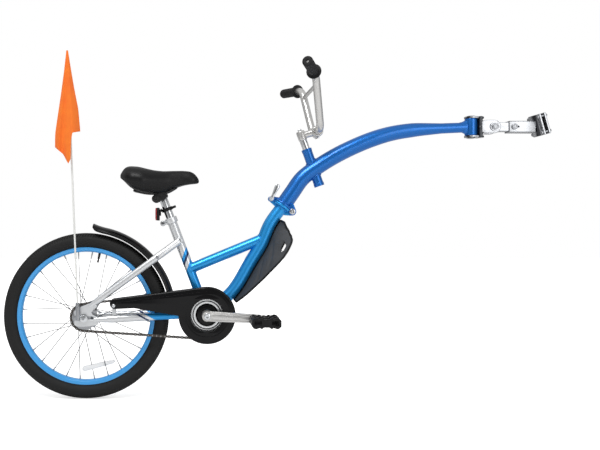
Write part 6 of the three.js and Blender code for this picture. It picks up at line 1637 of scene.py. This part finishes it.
def makeCloth():
    look = flagLook
    rows, columns = look["rows"], look["columns"]
    faceRows = []
    for lift in (0, look["thick"]):
        faceRows.append([[clothPlace(j / columns, i / rows, lift) for j in range(columns + 1)]
                         for i in range(rows + 1)])
    points = [p for grid in faceRows for line in grid for p in line]
    width, layer = columns + 1, (rows + 1) * (columns + 1)
    faces = []
    for i in range(rows):
        for j in range(columns):
            a = i * width + j
            faces.append((a, a + 1, a + width + 1, a + width))
            faces.append((a + layer, a + width + layer, a + width + 1 + layer, a + 1 + layer))
    # once round the edge, to close the two layers
    loop = [*range(width), *[i * width + columns for i in range(1, rows + 1)]]
    loop += [*[rows * width + j for j in range(columns - 1, -1, -1)],
             *[i * width for i in range(rows - 1, 0, -1)]]
    faces += [(p, q, q + layer, p + layer) for p, q in zip(loop, loop[1:] + loop[:1])]
    cloth = makePiece("flagCloth", "frame", [(flagPolyester, [(points, faces)])], ["flag_cloth"],
                      80)


makeFlag()
makeCloth()
print("flag made")


# white floor and room, and the lamps
studio = {
    "floor": -834,
    "floorGlow": (0.58, 1.0),  # near the object, so that its shadow shows, and far off
    # what the object mirrors, by height of the direction: dark below, a dark line at the horizon, bright above
    "room": [(0.0, 0.5), (0.4, 0.5), (0.47, 0.2), (0.52, 0.55), (0.72, 0.95), (1.0, 1.15)],
    "strength": 0.72,
    "flags": 5,
}


def makeStudio():
    mesh = bpy.data.meshes.new("floor")
    half = 9
    z = studio["floor"] * mm
    mesh.from_pydata([(-half, -half, z), (half, -half, z), (half, half, z), (-half, half, z)], [],
                     [(0, 1, 2, 3)])
    floor = bpy.data.objects.new("floor", mesh)
    bpy.context.scene.collection.objects.link(floor)
    material = bpy.data.materials.new("whiteSweep")
    material.use_nodes = True
    tree = material.node_tree
    shader = tree.nodes["Principled BSDF"]
    shader.inputs["Base Color"].default_value = (0.9, 0.9, 0.9, 1)
    shader.inputs["Roughness"].default_value = 1.0
    shader.inputs["Specular IOR Level"].default_value = 0.0
    shader.inputs["Emission Color"].default_value = (1, 1, 1, 1)
    rays = addNode(tree, "LightPath")
    near, far = studio["floorGlow"]
    away = addNode(tree, "VectorMath", {"operation": "DISTANCE"},
                   {0: addNode(tree, "TexCoord").outputs["Object"], 1: (-0.9, 0, z)})
    share = addNode(tree, "MapRange", {"interpolation_type": "SMOOTHSTEP"},
                    {0: away.outputs["Value"], 1: 0.8, 2: 2.6, 3: near, 4: far})
    glow = addNode(tree, "Math", {"operation": "MULTIPLY"},
                   {0: rays.outputs["Is Camera Ray"], 1: share.outputs[0]})
    tree.links.new(glow.outputs[0], shader.inputs["Emission Strength"])
    mesh.materials.append(material)
    world = bpy.data.worlds.new("studio")
    bpy.context.scene.world = world
    world.use_nodes = True
    tree = world.node_tree
    seen = tree.nodes["Background"]
    way = addNode(tree, "SeparateXYZ", inputs={0: addNode(tree, "TexCoord").outputs["Generated"]})
    height = addNode(tree, "MapRange", inputs={0: way.outputs["Z"], 1: -1.0, 2: 1.0})
    ramp = addNode(tree, "ValToRGB", inputs={0: height.outputs[0]})
    elements = ramp.color_ramp.elements
    while len(elements) < len(studio["room"]):
        elements.new(1)
    for element, (place, light) in zip(elements, studio["room"]):
        element.position = place
        element.color = (light, light, light, 1)
    # dark panels round the room, so that chrome has edges to mirror
    turn = addNode(tree, "Math", {"operation": "ARCTAN2"}, {0: way.outputs["Y"], 1: way.outputs["X"]})
    wave = addNode(tree, "Math", {"operation": "MULTIPLY"}, {0: turn.outputs[0], 1: float(studio["flags"])})
    wave = addNode(tree, "Math", {"operation": "SINE"}, {0: wave.outputs[0]})
    panel = addNode(tree, "MapRange", inputs={0: wave.outputs[0], 1: -0.6, 2: 0.2, 3: 0.55, 4: 1.0})
    room = addNode(tree, "Mix", {"data_type": "RGBA", "blend_type": "MULTIPLY"},
                   {0: 1.0, 6: ramp.outputs["Color"], 7: panel.outputs[0]})
    rays = addNode(tree, "LightPath")
    shown = addNode(tree, "Mix", {"data_type": "RGBA"},
                    {0: rays.outputs["Is Camera Ray"], 6: room.outputs[2], 7: (1, 1, 1, 1)})
    power = addNode(tree, "MapRange", inputs={0: rays.outputs["Is Camera Ray"], 3: studio["strength"], 4: 1.0})
    tree.links.new(shown.outputs[2], seen.inputs["Color"])
    tree.links.new(power.outputs[0], seen.inputs["Strength"])


def makeLamp(name, place, target, size, power):
    data = bpy.data.lights.new(name, "AREA")
    data.shape, data.size, data.size_y, data.energy = "RECTANGLE", size[0], size[1], power
    lamp = bpy.data.objects.new(name, data)
    bpy.context.scene.collection.objects.link(lamp)
    lamp.location = place
    lamp.rotation_euler = (Vector(target) - Vector(place)).to_track_quat("-Z", "Y").to_euler()


makeStudio()
makeLamp("key", (-1.9, -2.0, 2.6), (-0.9, 0, -0.4), (1.8, 1.2), 62)
makeLamp("fill", (0.9, -2.6, 0.4), (-0.7, 0, -0.4), (1.4, 1.8), 16)
bpy.context.scene.view_settings.view_transform = "Standard"
print("studio made")
